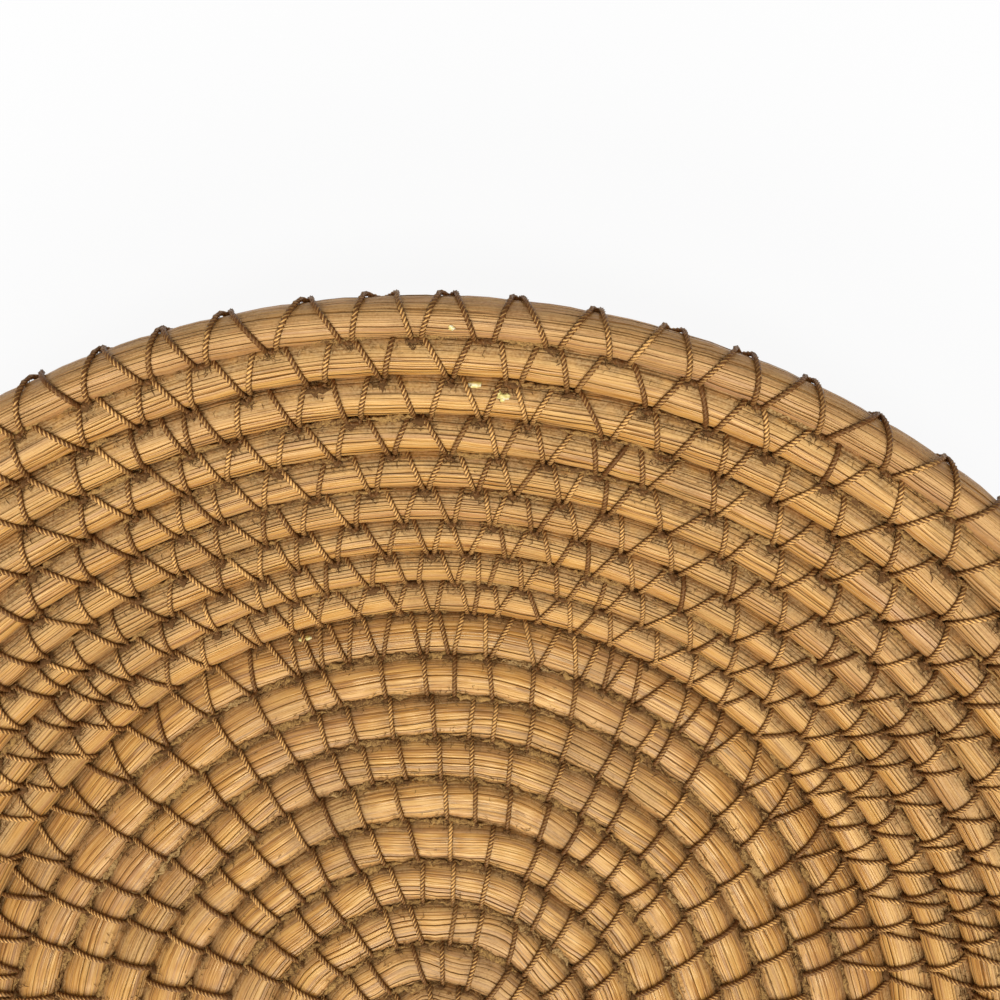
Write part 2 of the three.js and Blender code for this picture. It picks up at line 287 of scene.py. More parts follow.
class CoilSizes(bpy.types.PropertyGroup):
    """Sizes of the coiled bundle."""

    bundle_height: FloatProperty(
        name="Bundle height", description="Through the skin of the basket", default=7.0 * MM, unit="LENGTH"
    )
    base_squareness: FloatProperty(
        name="Base squareness", description="Of the top of a row: 2 is an ellipse, more is flatter",
        default=2.5,
    )
    wall_squareness: FloatProperty(
        name="Wall squareness", description="Of the inner face of a row of the wall", default=2.5
    )
    rim_squareness: FloatProperty(
        name="Rim squareness", description="Of the inner face of the last row", default=2.2
    )
    base_pitch: FloatProperty(
        name="Base pitch", description="From row to row across the base", default=7.5 * MM, unit="LENGTH"
    )
    wall_pitch: FloatProperty(
        name="Wall pitch", description="From row to row up the wall", default=7.0 * MM, unit="LENGTH"
    )
    start_angle: FloatProperty(
        name="Start angle", description="Direction of turn 0", default=math.radians(150.0), subtype="ANGLE"
    )
    first_turn: FloatProperty(
        name="First turn", description="Where the first needles are caught", default=0.5
    )
    centre_turns: FloatProperty(
        name="Centre turns", description="By this turn the bundle has its full size", default=2.0
    )
    wall_turn: FloatProperty(
        name="Wall turn", description="The V stitches start here, with one flat row", default=34.0 / 3.0
    )
    bend_turn: FloatProperty(
        name="Bend turn", description="The skin starts to bend up here", default=12.0
    )
    bend_turns: FloatProperty(
        name="Bend turns", description="Turns that the bend takes", default=1.0
    )
    bend_extra: FloatProperty(
        name="Bend extra", description="The row in the bend is wider by this", default=1.8 * MM,
        unit="LENGTH",
    )
    rim_draw: FloatProperty(
        name="Rim draw", description="The last row is drawn in by this", default=0.9 * MM, unit="LENGTH"
    )
    end_turn: FloatProperty(
        name="End turn", description="The tip of the tail", default=64.0 / 3.0
    )
    tail_turns: FloatProperty(
        name="Tail turns", description="The bundle thins out over these turns", default=0.25
    )
    tail_share: FloatProperty(
        name="Tail share", description="Of its full size, left at the tip", default=0.35, subtype="FACTOR"
    )
    foot_slope: FloatProperty(
        name="Foot slope", description="Of the wall above the base", default=math.radians(40.0),
        subtype="ANGLE",
    )
    rim_slope: FloatProperty(
        name="Rim slope", description="Of the wall at the rim", default=math.radians(36.0), subtype="ANGLE"
    )


class NeedleSizes(bpy.types.PropertyGroup):
    """Sizes of the single needles."""

    around: IntProperty(
        name="Needles around", description="Needles that show round the bundle", default=76, min=8
    )
    width: FloatProperty(
        name="Needle width", description="Of a mean needle", default=0.48 * MM, unit="LENGTH"
    )
    height: FloatProperty(
        name="Needle height", description="Of the rounded top of a needle", default=0.032 * MM,
        unit="LENGTH",
    )
    length: FloatProperty(
        name="Needle length", description="Of a mean needle", default=190.0 * MM, unit="LENGTH"
    )
    base_pinch: FloatProperty(
        name="Base pinch", description="How far a straight stitch draws needles in", default=0.42 * MM,
        unit="LENGTH",
    )
    wall_pinch: FloatProperty(
        name="Wall pinch", description="How far a V stitch draws needles in", default=0.2 * MM,
        unit="LENGTH",
    )


class SewingSizes(bpy.types.PropertyGroup):
    """Sizes of the sewing."""

    thread_diameter: FloatProperty(
        name="Thread diameter", description="Over the plies", default=0.94 * MM, unit="LENGTH"
    )
    lay: FloatProperty(
        name="Lay", description="Length of one full twist of the thread", default=2.05 * MM, unit="LENGTH"
    )
    first_turn: FloatProperty(
        name="First sewn turn", description="The first stitch is here", default=4.0 / 3.0
    )
    last_turn: FloatProperty(
        name="Last sewn turn", description="The last stitch is here", default=21.3
    )
    spacing: FloatProperty(
        name="Stitch spacing", description="Of the straight stitches, at the axis", default=4.4 * MM,
        unit="LENGTH",
    )
    spacing_growth: FloatProperty(
        name="Spacing growth", description="Added to the spacing for each metre from the axis",
        default=0.038,
    )
    v_count: IntProperty(
        name="V stitches", description="In a row of the wall", default=76, min=12
    )


class LintSizes(bpy.types.PropertyGroup):
    """How much lint and dust lies on the basket."""

    base_fill: FloatProperty(
        name="Base fill", description="Share of the grooves of the base that lint fills", default=0.75,
        subtype="FACTOR",
    )
    wall_fill: FloatProperty(
        name="Wall fill", description="Share of the grooves of the wall that lint fills", default=0.4,
        subtype="FACTOR",
    )
    base_crumbs: IntProperty(
        name="Base crumbs", description="Crumbs of lint on a metre of the grooves of the base", default=4800
    )
    wall_crumbs: IntProperty(
        name="Wall crumbs", description="Crumbs of lint on a metre of the grooves of the wall", default=1500
    )
    hole_fibres: IntProperty(
        name="Hole fibres", description="Fibres round each hole of a V stitch", default=22
    )


class Finishes(bpy.types.PropertyGroup):
    """Colours of the needles, the thread and the lint."""

    needle_dark: FloatVectorProperty(
        name="Dark needle", description="Brown needles and shaded seams", subtype="COLOR", size=3,
        default=(0.22, 0.085, 0.014),
    )
    needle_orange: FloatVectorProperty(
        name="Orange needle", description="Warm brown needles", subtype="COLOR", size=3,
        default=(0.40, 0.165, 0.032),
    )
    needle_golden: FloatVectorProperty(
        name="Golden needle", description="Most needles", subtype="COLOR", size=3,
        default=(0.57, 0.272, 0.056),
    )
    needle_tan: FloatVectorProperty(
        name="Tan needle", description="Pale, dull needles", subtype="COLOR", size=3,
        default=(0.66, 0.36, 0.10),
    )
    needle_rose: FloatVectorProperty(
        name="Rose needle", description="Some needles are a duller, rosy brown", subtype="COLOR", size=3,
        default=(0.47, 0.24, 0.115),
    )
    # the two dust colours are painted where the dust mask lies, which is partly painted shade
    dust_and_shade_dark: FloatVectorProperty(
        name="Dark dust", description="Specks in the dust along the grooves", subtype="COLOR", size=3,
        default=(0.20, 0.085, 0.022),
    )
    dust_and_shade_pale: FloatVectorProperty(
        name="Pale dust", description="Dust that lies along the grooves", subtype="COLOR", size=3,
        default=(0.45, 0.275, 0.115),
    )
    # thread_dark: painted shade between the plies and on the flanks, and the colour of grime
    thread_dark: FloatVectorProperty(
        name="Thread groove", description="Between the plies and on the flanks", subtype="COLOR", size=3,
        default=(0.13, 0.046, 0.012),
    )
    # thread_light: a painted highlight on the crests of the plies
    thread_light: FloatVectorProperty(
        name="Thread crest", description="On the plies", subtype="COLOR", size=3,
        default=(0.95, 0.53, 0.17),
    )
    lint_dark: FloatVectorProperty(
        name="Dark lint", description="Brown fibres round the stitch holes", subtype="COLOR", size=3,
        default=(0.14, 0.064, 0.02),
    )
    lint_pale: FloatVectorProperty(
        name="Pale lint", description="Dull fibres in the grooves", subtype="COLOR", size=3,
        default=(0.48, 0.275, 0.085),
    )
    lint_grey: FloatVectorProperty(
        name="Grey lint", description="Tufts of pale fluff here and there", subtype="COLOR", size=3,
        default=(0.52, 0.37, 0.18),
    )
    wax: FloatVectorProperty(
        name="Wax", description="Flecks of dry wax", subtype="COLOR", size=3, default=(0.86, 0.70, 0.22)
    )


class StageSizes(bpy.types.PropertyGroup):
    """The floor, the light and the camera."""

    floor_colour: FloatVectorProperty(
        name="Floor colour", description="Plain pale floor", subtype="COLOR", size=3,
        default=(0.9, 0.9, 0.91),
    )
    floor_glow: FloatProperty(
        name="Floor glow", description="Share of plain white that the camera sees on the floor",
        default=0.9, subtype="FACTOR",
    )
    sky: FloatProperty(
        name="Sky", description="Strength of the even light from all round", default=0.56
    )
    overhead_power: FloatProperty(
        name="Overhead power", description="Of the lamp above", default=4.6, unit="POWER"
    )
    front_power: FloatProperty(
        name="Front power", description="Of the soft lamp on the near side", default=8.8, unit="POWER"
    )
    camera_place: FloatVectorProperty(
        name="Camera", description="Place of the camera, which looks straight down", size=3,
        default=(10.86 * MM, 105.68 * MM, 185.26 * MM), subtype="TRANSLATION", unit="LENGTH",
    )
    lens: FloatProperty(
        name="Lens", description="Focal length in millimetres", default=35.47
    )


def smooth(share):
    """Eases a share from 0 to 1."""
    share = np.clip(share, 0.0, 1.0)
    return share * share * (3.0 - 2.0 * share)


def unit(vectors):
    """The vectors, each drawn out to length 1."""
    return vectors / np.maximum(np.linalg.norm(vectors, axis=-1, keepdims=True), 1e-12)


def folded_angle(around):
    """How far an angle is from the outer groove, either way round."""
    return np.abs(np.remainder(around + math.pi, FULL_TURN) - math.pi)


def half_section(squareness):
    """The inner half of a section of size 1, in even steps along it: where it is, and the way out of it."""
    power = 2.0 / squareness
    level = np.sign(np.cos(SECTION_GRID)) * np.abs(np.cos(SECTION_GRID)) ** power
    upright = np.abs(np.sin(SECTION_GRID)) ** power
    steps = np.hypot(np.diff(level), np.diff(upright))
    along = np.concatenate([[0.0], np.cumsum(steps)])
    along = along * math.pi / along[-1]
    level = np.interp(SECTION_GRID, along, level)
    upright = np.interp(SECTION_GRID, along, upright)
    way = unit(np.stack([np.gradient(upright), -np.gradient(level)], axis=-1))
    return level, upright, way[:, 0], way[:, 1]


class Coil:
    """The bundle's middle line and section, at any turn."""

    def __init__(self, sizes):
        self.sizes = sizes
        self.halves = [
            half_section(squareness)
            for squareness in (sizes.base_squareness, sizes.wall_squareness, sizes.rim_squareness)
        ]
        self.table_turn = np.arange(round(sizes.end_turn * TABLE_STEPS) + 1) / TABLE_STEPS
        middle = self.table_turn[1:] - 0.5 / TABLE_STEPS
        step = self.room(middle) / TABLE_STEPS + sizes.bend_extra * np.diff(self.bend(self.table_turn))
        self.table_radius = np.concatenate(([0.0], np.cumsum(step * np.cos(self.slope(middle)))))
        self.table_rise = np.concatenate(([0.0], np.cumsum(step * np.sin(self.slope(middle)))))
        rng = np.random.default_rng(SEED)
        self.waves = [
            (rate * rng.uniform(*WAVE_STRAY), rng.uniform(0.0, FULL_TURN))
            for rate in WAVE_RATES
        ]

    def bend(self, turn):
        """0 on the base, 1 on the wall."""
        return smooth((turn - self.sizes.bend_turn) / self.sizes.bend_turns)

    def pitch(self, turn):
        """From row to row, but for the row in the bend."""
        return self.sizes.base_pitch + (self.sizes.wall_pitch - self.sizes.base_pitch) * self.bend(turn)

    def apart(self, turn):
        """From the middle of the row before to the middle of this row, along the skin."""
        return self.pitch(turn) + self.sizes.bend_extra * (self.bend(turn) - self.bend(turn - 1.0))

    def swollen(self, turn):
        """Share of its full size that the bundle has near its start."""
        return np.minimum(turn / self.sizes.centre_turns, 1.0)

    def room(self, turn):
        """From row to row, and less at the start, where the bundle swells."""
        return self.swollen(turn) * self.pitch(turn)

    def slope(self, turn):
        """Tilt of the skin in radians."""
        sizes = self.sizes
        climbed = np.clip((turn - sizes.bend_turn) / (sizes.end_turn - sizes.bend_turn), 0.0, 1.0)
        return self.bend(turn) * (sizes.foot_slope + (sizes.rim_slope - sizes.foot_slope) * climbed)

    def radius(self, turn):
        """From the axis to the middle of the bundle."""
        return np.interp(turn, self.table_turn, self.table_radius)

    def row_length(self, turn):
        """Length of one turn of the bundle."""
        return FULL_TURN * np.maximum(self.radius(turn), LEAST_RADIUS)

    def uneven(self, turn, shift):
        """A slow wave along the bundle, from about -1 to 1, since no hand-made bundle is quite even."""
        total = sum(np.sin(FULL_TURN * rate * turn + phase + shift * rate) for rate, phase in self.waves)
        return total / len(self.waves)

    def twist(self, turn):
        """How far the bundle is twisted, one way and the other, so that its needles run a little askew."""
        return TWIST * self.uneven(TWIST_RATE * turn, TWIST_SHIFT)

    def thinned(self, turn):
        """Share of the full section that the tail still has."""
        sizes = self.sizes
        gone = np.clip((turn - sizes.end_turn) / sizes.tail_turns + 1.0, 0.0, 1.0)
        return 1.0 + (sizes.tail_share - 1.0) * gone

    def share(self, turn):
        """Share of the full section, at the start and at the tail too."""
        return self.swollen(turn) * self.thinned(turn)

    def rim(self, turn):
        """0 below the rim, 1 on the last row."""
        return smooth((turn - self.sizes.end_turn + RIM_TURNS) / RIM_CHANGE)

    def outline(self, turn, around):
        """Points of a section of size 1, flat inside and round outside, and the way out of the skin."""
        folded = folded_angle(around)
        inner = np.sin(around) > 0.0
        bend = self.bend(turn)
        rim = self.rim(turn)
        shares = (1.0 - bend, bend * (1.0 - rim), bend * rim)
        used = [(share, half) for share, half in zip(shares, self.halves) if np.any(share > 0.0)]
        plain = (np.cos(around), np.sin(around), np.cos(around), np.sin(around))
        for part, outer in enumerate(plain):
            face = sum(share * np.interp(folded, SECTION_GRID, half[part]) for share, half in used)
            yield np.where(inner, face, outer)

    def press(self, turn):
        """How far the rows press into each other on each side."""
        return BASE_PRESS + (WALL_PRESS - BASE_PRESS) * self.bend(turn)

    def section(self, turn, around, lift):
        """Where a point of the section lies from the bundle's middle, along the skin and through it."""
        bend = self.bend(turn)
        share = self.share(turn)
        tall = self.sizes.bundle_height / 2.0
        swell = 1.0 + SWELL * self.uneven(turn, 0.0)
        inside = tall * share * swell
        outside = (tall - BASE_SETTLE * (1.0 - bend)) * share
        level, upright, out_level, out_upright = self.outline(turn, around)
        wide = 0.5 * np.where(level > 0.0, self.apart(turn + 1.0), self.apart(turn)) + self.press(turn)
        wide = wide * share * (1.0 - RIM_TRIM * self.rim(turn) * (level > 0.0))
        across = wide * level + lift * out_level
        above = np.where(upright > 0.0, inside, outside) * upright + lift * out_upright
        return across, above

    def reach(self, turn, around):
        """How far out a point of the skin lies from the middle of the bundle, seen from above."""
        across, above = self.section(turn, around, 0.0)
        return across * np.cos(self.slope(turn)) - above * np.sin(self.slope(turn))

    def skin(self, turn, around, lift):
        """Points at a lift above the skin of the bundle."""
        turn = np.clip(turn, 0.0, self.sizes.end_turn)
        slope = self.slope(turn)
        tall = self.sizes.bundle_height / 2.0
        across, above = self.section(turn, around, lift)
        drawn_in = 0.5 * self.pitch(turn) * (1.0 - self.thinned(turn))
        drawn_in = drawn_in + self.sizes.rim_draw * self.rim(turn)
        roll = HALF_FLAT * np.sin(slope) + tall * (np.cos(slope) - 1.0)
        rise = np.interp(turn, self.table_turn, self.table_rise)
        radius = self.radius(turn) - drawn_in * np.cos(slope)
        height = tall * self.swollen(turn) + rise + roll - drawn_in * np.sin(slope)
        height = height + SWAY * self.bend(turn) * self.uneven(turn, SWAY_SHIFT)
        out = radius + across * np.cos(slope) - above * np.sin(slope)
        up = height + across * np.sin(slope) + above * np.cos(slope)
        angle = self.direction(turn)
        return np.stack([out * np.cos(angle), out * np.sin(angle), up], axis=-1)

    def direction(self, turn):
        """Angle about the axis."""
        return self.sizes.start_angle + FULL_TURN * turn

    def heading(self, turn):
        """Direction along the bundle."""
        angle = self.direction(turn)
        return np.stack([-np.sin(angle), np.cos(angle), np.zeros_like(angle)], axis=-1)

    def upward(self, turn):
        """Direction along the skin, towards the next row."""
        angle = self.direction(turn)
        slope = self.slope(turn)
        level = np.cos(slope)
        return np.stack([level * np.cos(angle), level * np.sin(angle), np.sin(slope)], axis=-1)

    def inward(self, turn):
        """Direction out of the skin, into the bowl."""
        return np.cross(self.upward(turn), self.heading(turn))


def next_hole(turn, spacing, wanted, most):
    """Where the next stitch goes in: at the first wanted place that isn't too near, or a spacing on."""
    later = wanted[wanted > turn + LEAST_GAP * spacing]
    if len(later) and later[0] < turn + most * spacing:
        return later[0]
    return turn + spacing


def following(places):
    """The place after each one. After the last one, the last step is taken once more."""
    return np.append(places[1:], 2.0 * places[-1] - places[-2])


class Sewing:
    """Where every stitch is, in turns: its hole, where it goes over, and the hole that its back runs to."""

    def __init__(self, coil, sizes):
        self.coil = coil
        self.sizes = sizes
        self.rng = np.random.default_rng(SEED + 1)
        self.plan_straight()
        self.plan_vs()

    def plan_straight(self):
        """Straight stitches follow the ones of the row before, and more are put in as the rows grow."""
        holes = []
        tops = []
        turn = self.sizes.first_turn
        while turn < self.coil.sizes.wall_turn:
            row = self.coil.row_length(turn)
            holes.append(turn)
            tops.append(turn + self.rng.normal(*STRAIGHT_LEAN) * MM / row)
            spacing = (self.sizes.spacing + self.sizes.spacing_growth * self.coil.radius(turn)) / row
            wanted = np.array(tops) + 1.0 + STRAIGHT_AFTER / row
            turn = next_hole(turn, spacing * self.rng.uniform(*STRAIGHT_UNEVEN), wanted, STRAIGHT_MOST)
        self.straight_holes = np.array(holes)
        self.straight_tops = np.array(tops)

    def plan_vs(self):
        """The first V's stand on the straight stitches, and later ones between V's of the row before."""
        holes = []
        turn = self.coil.sizes.wall_turn
        spacing = 1.0 / self.sizes.v_count
        while turn < self.sizes.last_turn:
            holes.append(turn)
            between = (np.array(holes[:-1]) + np.array(holes[1:])) / 2.0
            wanted = np.concatenate([self.straight_tops, between]) + 1.0
            wanted = wanted + self.rng.normal(0.0, V_STRAY * spacing)
            most = V_MOST[0] if turn < self.coil.sizes.wall_turn + 1.0 else V_MOST[1]
            turn = next_hole(turn, spacing * self.rng.uniform(*V_UNEVEN), np.sort(wanted), most)
        holes = np.array(holes)
        gaps = np.diff(holes)
        after = np.append(gaps, gaps[-1])
        before = np.insert(gaps, 0, gaps[0])
        count = len(holes)
        spread = self.rng.uniform(*V_SPREADS, count) + V_WIDE * (self.rng.random(count) < V_WIDE_SHARE)
        spread = spread * MM / self.coil.row_length(holes)
        self.v_holes = holes
        self.ahead_holes = holes + spread
        self.back_holes = holes - spread
        self.v_spreads = spread
        lean = 1.0 - RIM_UPRIGHT * self.coil.rim(holes)
        self.ahead_tops = holes + after * lean * self.draw_leans(count)
        self.back_tops = holes - before * lean * self.draw_leans(count)

    def draw_leans(self, count):
        """How far the legs of V's lean, as shares of the gaps between the V's."""
        return np.clip(self.rng.normal(*V_LEAN, count), *V_LEAN_LIMITS)

    def front_turn(self, hole, top, around):
        """Where the front of a stitch is at an angle round its row. It looks straight from above."""
        coil = self.coil
        top_reach = coil.reach(top, math.radians(TOP_ANGLE))
        row_step = coil.apart(hole) * np.cos(coil.slope(hole))
        hole_reach = coil.reach(hole - 1.0, math.radians(HOLE_ANGLE)) - row_step
        share = (top_reach - coil.reach(top, around)) / (top_reach - hole_reach)
        return top + (hole - top) * share

    def back_turn(self, hole, top, next_one, around):
        """Where the back of a stitch is, on its way from the edge to the next hole."""
        edge = math.radians(EDGE_ANGLE)
        start = self.front_turn(hole, top, edge)
        return start + (next_one - start) * (edge - around) / (edge + math.pi)

    def runs(self):
        """Each family of threads: its holes, its tops and the holes that the backs run to."""
        return (
            (self.straight_holes, self.straight_tops, following(self.straight_holes)),
            (self.ahead_holes, self.ahead_tops, following(self.ahead_holes)),
            (self.back_holes, self.back_tops, following(self.back_holes[::-1])[::-1]),
        )

    def pull(self, turn, around):
        """From 0 to 1: how much the nearest thread draws in a needle at one angle round the bundle."""
        around = math.remainder(around, FULL_TURN)
        total = np.zeros_like(turn)
        reach = (PULL_REACH - PULL_LESS * self.coil.bend(turn)) * MM / self.coil.row_length(turn)
        for holes, tops, next_holes in self.runs():
            if around >= math.radians(EDGE_ANGLE):
                places = np.sort(self.front_turn(holes, tops, around))
            else:
                places = np.sort(self.back_turn(holes, tops, next_holes, around))
            after = np.clip(np.searchsorted(places, turn), 1, len(places) - 1)
            away = np.minimum(np.abs(turn - places[after - 1]), np.abs(turn - places[after]))
            total = np.maximum(total, np.exp(-((away / reach) ** 2)))
        return total


class Strands:
    """Collects closed tubes of one piece, with values at their points, and makes the mesh."""

    def __init__(self):
        self.points = []
        self.faces = []
        self.values = {}
        self.maps = []
        self.count = 0

    def add(self, rings, **values):
        """Adds a tube of rings, an array of ring by corner by axis. A value spreads over ring and corner."""
        ring_count, corners = rings.shape[:2]
        index = self.count + np.arange(ring_count * corners).reshape(ring_count, corners)
        beside = np.roll(index, -1, axis=1)
        sides = np.stack([index[:-1], beside[:-1], beside[1:], index[1:]], axis=-1).reshape(-1, 4)
        fan = [[0, turn, turn + 1, turn + 2] for turn in range(1, corners - 2, 2)]
        start_cap = index[0][np.array(fan)[:, ::-1]]
        end_cap = index[-1][np.array(fan)]
        self.points.append(rings.reshape(-1, 3))
        self.faces += [sides, start_cap, end_cap]
        along = np.linspace(0.0, 1.0, ring_count)
        across = np.arange(corners + 1) / corners
        low_along, low_across = np.meshgrid(along[:-1], across[:-1], indexing="ij")
        high_along, high_across = np.meshgrid(along[1:], across[1:], indexing="ij")
        strip = np.stack(
            [
                np.stack([low_along, low_across], axis=-1),
                np.stack([low_along, high_across], axis=-1),
                np.stack([high_along, high_across], axis=-1),
                np.stack([high_along, low_across], axis=-1),
            ],
            axis=2,
        ).reshape(-1, 2)
        caps = np.concatenate(
            [np.tile([[0.0, 0.5]], (start_cap.size, 1)), np.tile([[1.0, 0.5]], (end_cap.size, 1))]
        )
        self.maps.append(np.concatenate([strip, caps]))
        for name, value in values.items():
            full = np.broadcast_to(value, (ring_count, corners))
            self.values.setdefault(name, []).append(full.reshape(-1))
        self.count += ring_count * corners

    def bake_places(self):
        """Places each tube's strip in a cell of its own."""
        cells = len(self.maps)
        columns = 1 if cells <= MOST_STRIPS else math.ceil(math.sqrt(cells))
        rows = math.ceil(cells / columns)
        placed = [
            (strip * STRIP_SHARE + [cell % columns + STRIP_MARGIN, cell // columns + STRIP_MARGIN])
            / [columns, rows]
            for cell, strip in enumerate(self.maps)
        ]
        return np.concatenate(placed)

    def build(self, name, material):
        """Makes the piece, and maps each tube to a strip of its own for baking."""
        points = np.concatenate(self.points)
        faces = np.concatenate(self.faces)
        mesh = bpy.data.meshes.new(name)
        mesh.vertices.add(len(points))
        mesh.vertices.foreach_set("co", points.astype(np.float32).ravel())
        mesh.loops.add(faces.size)
        mesh.loops.foreach_set("vertex_index", faces.astype(np.int32).ravel())
        mesh.polygons.add(len(faces))
        mesh.polygons.foreach_set("loop_start", np.arange(0, faces.size, 4, dtype=np.int32))
        mesh.update(calc_edges=True)
        mesh.shade_smooth()
        bake_map = mesh.uv_layers.new(name="OFBake")
        bake_map.data.foreach_set("uv", self.bake_places().astype(np.float32).ravel())
        for value_name, parts in self.values.items():
            attribute = mesh.attributes.new(value_name, "FLOAT", "POINT")
            attribute.data.foreach_set("value", np.concatenate(parts).astype(np.float32))
        mesh.materials.append(material)
        piece = bpy.data.objects.new(name, mesh)
        bpy.context.scene.collection.objects.link(piece)
        return piece


def dress(piece, node):
    """Makes a piece ride on the basket and stand for its CAD node, which is hidden."""
    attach(piece, BODY)
    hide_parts(node)


def settle(piece):
    """Makes a piece that has no CAD node ride on the basket."""
    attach(piece, BODY)


class Needle:
    """One needle of the bundle: where it runs, how wide it is and how it looks."""

    def __init__(self, rng, start, end, around, width):
        self.start = start
        self.end = end
        self.around = around
        self.width = width
        self.drift = rng.normal(0.0, NEEDLE_DRIFT)
        self.wander = [(rate, rng.normal(0.0, size)) for rate, size in NEEDLE_WANDER]
        self.phase = rng.uniform(0.0, FULL_TURN, len(self.wander))
        self.lift = rng.normal(0.0, NEEDLE_LIFT)
        if rng.random() < SUNK_SHARE:
            self.lift -= SUNK_DEPTH
        self.heave_rate = rng.uniform(*HEAVE_RATES)
        self.heave_phase = rng.uniform(0.0, FULL_TURN)
        self.heave_size = rng.uniform(*HEAVE_SIZES) * MM
        self.tone = float(np.clip(rng.normal(*NEEDLE_TONES), *TONE_LIMITS))
        self.rosy = ROSY_MOST * rng.random() ** 3
        self.grain = rng.uniform(0.0, GRAIN_RANGE)

    def stray(self, along):
        """How far the needle strays round the bundle, at shares of its length."""
        wave = sum(
            size * np.sin(FULL_TURN * rate * along + phase)
            for (rate, size), phase in zip(self.wander, self.phase)
        )
        return self.drift * (along - 0.5) * 2.0 + wave

    def top(self, along):
        """How high the needle lies, at shares of its length."""
        return self.lift + self.heave_size * np.sin(FULL_TURN * self.heave_rate * along + self.heave_phase)


def lay_needles(coil, sizes):
    """All the needles that show, lane by lane round the bundle, each laid on where the last one ends."""
    rng = np.random.default_rng(SEED + 2)
    needles = []
    lanes = sizes.around
    for lane in range(lanes):
        turn = coil.sizes.first_turn - rng.uniform(0.0, START_STAGGER)
        while turn < coil.sizes.end_turn:
            length = sizes.length * rng.uniform(*NEEDLE_LENGTHS)
            end = turn + length / coil.row_length(max(turn, 1.0))
            around = FULL_TURN * (lane + rng.normal(0.0, LANE_STRAY)) / lanes
            width = sizes.width * rng.uniform(*NEEDLE_WIDTHS)
            needles.append(Needle(rng, turn, end, around, width))
            turn = end - NEEDLE_LAP / coil.row_length(max(end, 1.0))
    return needles


def pinch_at(coil, sizes, turns):
    """How far a stitch draws needles in."""
    return sizes.base_pinch + (sizes.wall_pinch - sizes.base_pinch) * coil.bend(turns)


def needle_rings(coil, sewing, sizes, needle, turns):
    """Rings of one needle: a low rounded top between two edges that go down into the bundle.

    It also gives the needle's angle, and how clean and unshaded it is: 1, but less at its ends, and beside
    the threads, where grime and painted shade darken it.
    """
    row = coil.row_length(turns)
    bend = coil.bend(turns)
    share = coil.share(turns)
    from_start = (turns - needle.start) * row
    from_end = (needle.end - turns) * row
    taper = smooth(from_start / START_TAPER) * smooth(from_end / END_TAPER)
    along = (turns - needle.start) / (needle.end - needle.start)
    twist = coil.twist(turns)
    around = needle.around + twist + needle.stray(along)
    width = needle.width * (TIP_WIDTH + (1.0 - TIP_WIDTH) * taper) * share
    half = 0.5 * width * (BASE_WIDTH - BASE_WIDER * bend)
    pull = sewing.pull(turns, needle.around + twist.mean())
    top = needle.top(along) * taper - TIP_DEPTH * (1.0 - taper) - pinch_at(coil, sizes, turns) * pull
    half_angle = half / (0.5 * coil.sizes.bundle_height * np.maximum(share, LEAST_SHARE))
    section = np.array(NEEDLE_SECTION)
    places = around[:, None] + half_angle[:, None] * section[None, :, 0]
    lifts = top[:, None] + sizes.height * share[:, None] * section[None, :, 1]
    # beside a stitch the needles get grime and painted shade, less on the wall
    clean_and_unshaded = taper - pull**2 * (1.0 - WALL_GRIP * bend)
    return coil.skin(turns[:, None], places, lifts), around, clean_and_unshaded


def dust_and_shade_at(coil, turns, around):
    """From 0 to 1: dust, partly painted shade, lies in the grooves of the base, and on the upper part of
    each row of the wall, under the next row.
    """
    angle = np.degrees(folded_angle(around))
    inside = np.sin(around) > UNDERSIDE
    outer = smooth((OUTER_DUST_AND_SHADE[0] - angle) / OUTER_DUST_AND_SHADE[1])
    inner = smooth((angle - INNER_DUST_AND_SHADE[0]) / INNER_DUST_AND_SHADE[1])
    base = BASE_DUST_AND_SHADE * np.maximum(outer, inner)
    rim = coil.rim(turns)
    upper = smooth((WALL_DUST_AND_SHADE[0] - angle) / WALL_DUST_AND_SHADE[1])
    wall = np.maximum(upper * (1.0 - RIM_LESS_DUST_AND_SHADE * rim), RIM_DUST_AND_SHADE * rim)
    bend = coil.bend(turns)
    return inside * (base * (1.0 - bend) + wall * bend)


def add_core(strands, coil, sewing, sizes, turns):
    """Adds the inside of the bundle. It is widest at the grooves, so that no light comes through there."""
    places = FULL_TURN * np.arange(CORE_SIDES)[None, :] / CORE_SIDES
    pull = np.stack([sewing.pull(turns, place) for place in places[0]], axis=1)
    depth = CORE_DEPTH + pinch_at(coil, sizes, turns)[:, None] * pull
    depth = depth * (1.0 - np.cos(places) ** CORE_SHARPNESS)
    distance = (turns - turns[0]) * coil.row_length(turns.mean())
    lane = sizes.around * places / FULL_TURN
    strands.add(
        coil.skin(turns[:, None], places, -depth * coil.share(turns)[:, None]),
        **CORE_LOOK,
        dust=dust_and_shade_at(coil, turns[:, None], places),
        along=distance[:, None] / MM,
        lane=lane,
        grain=lane,
    )


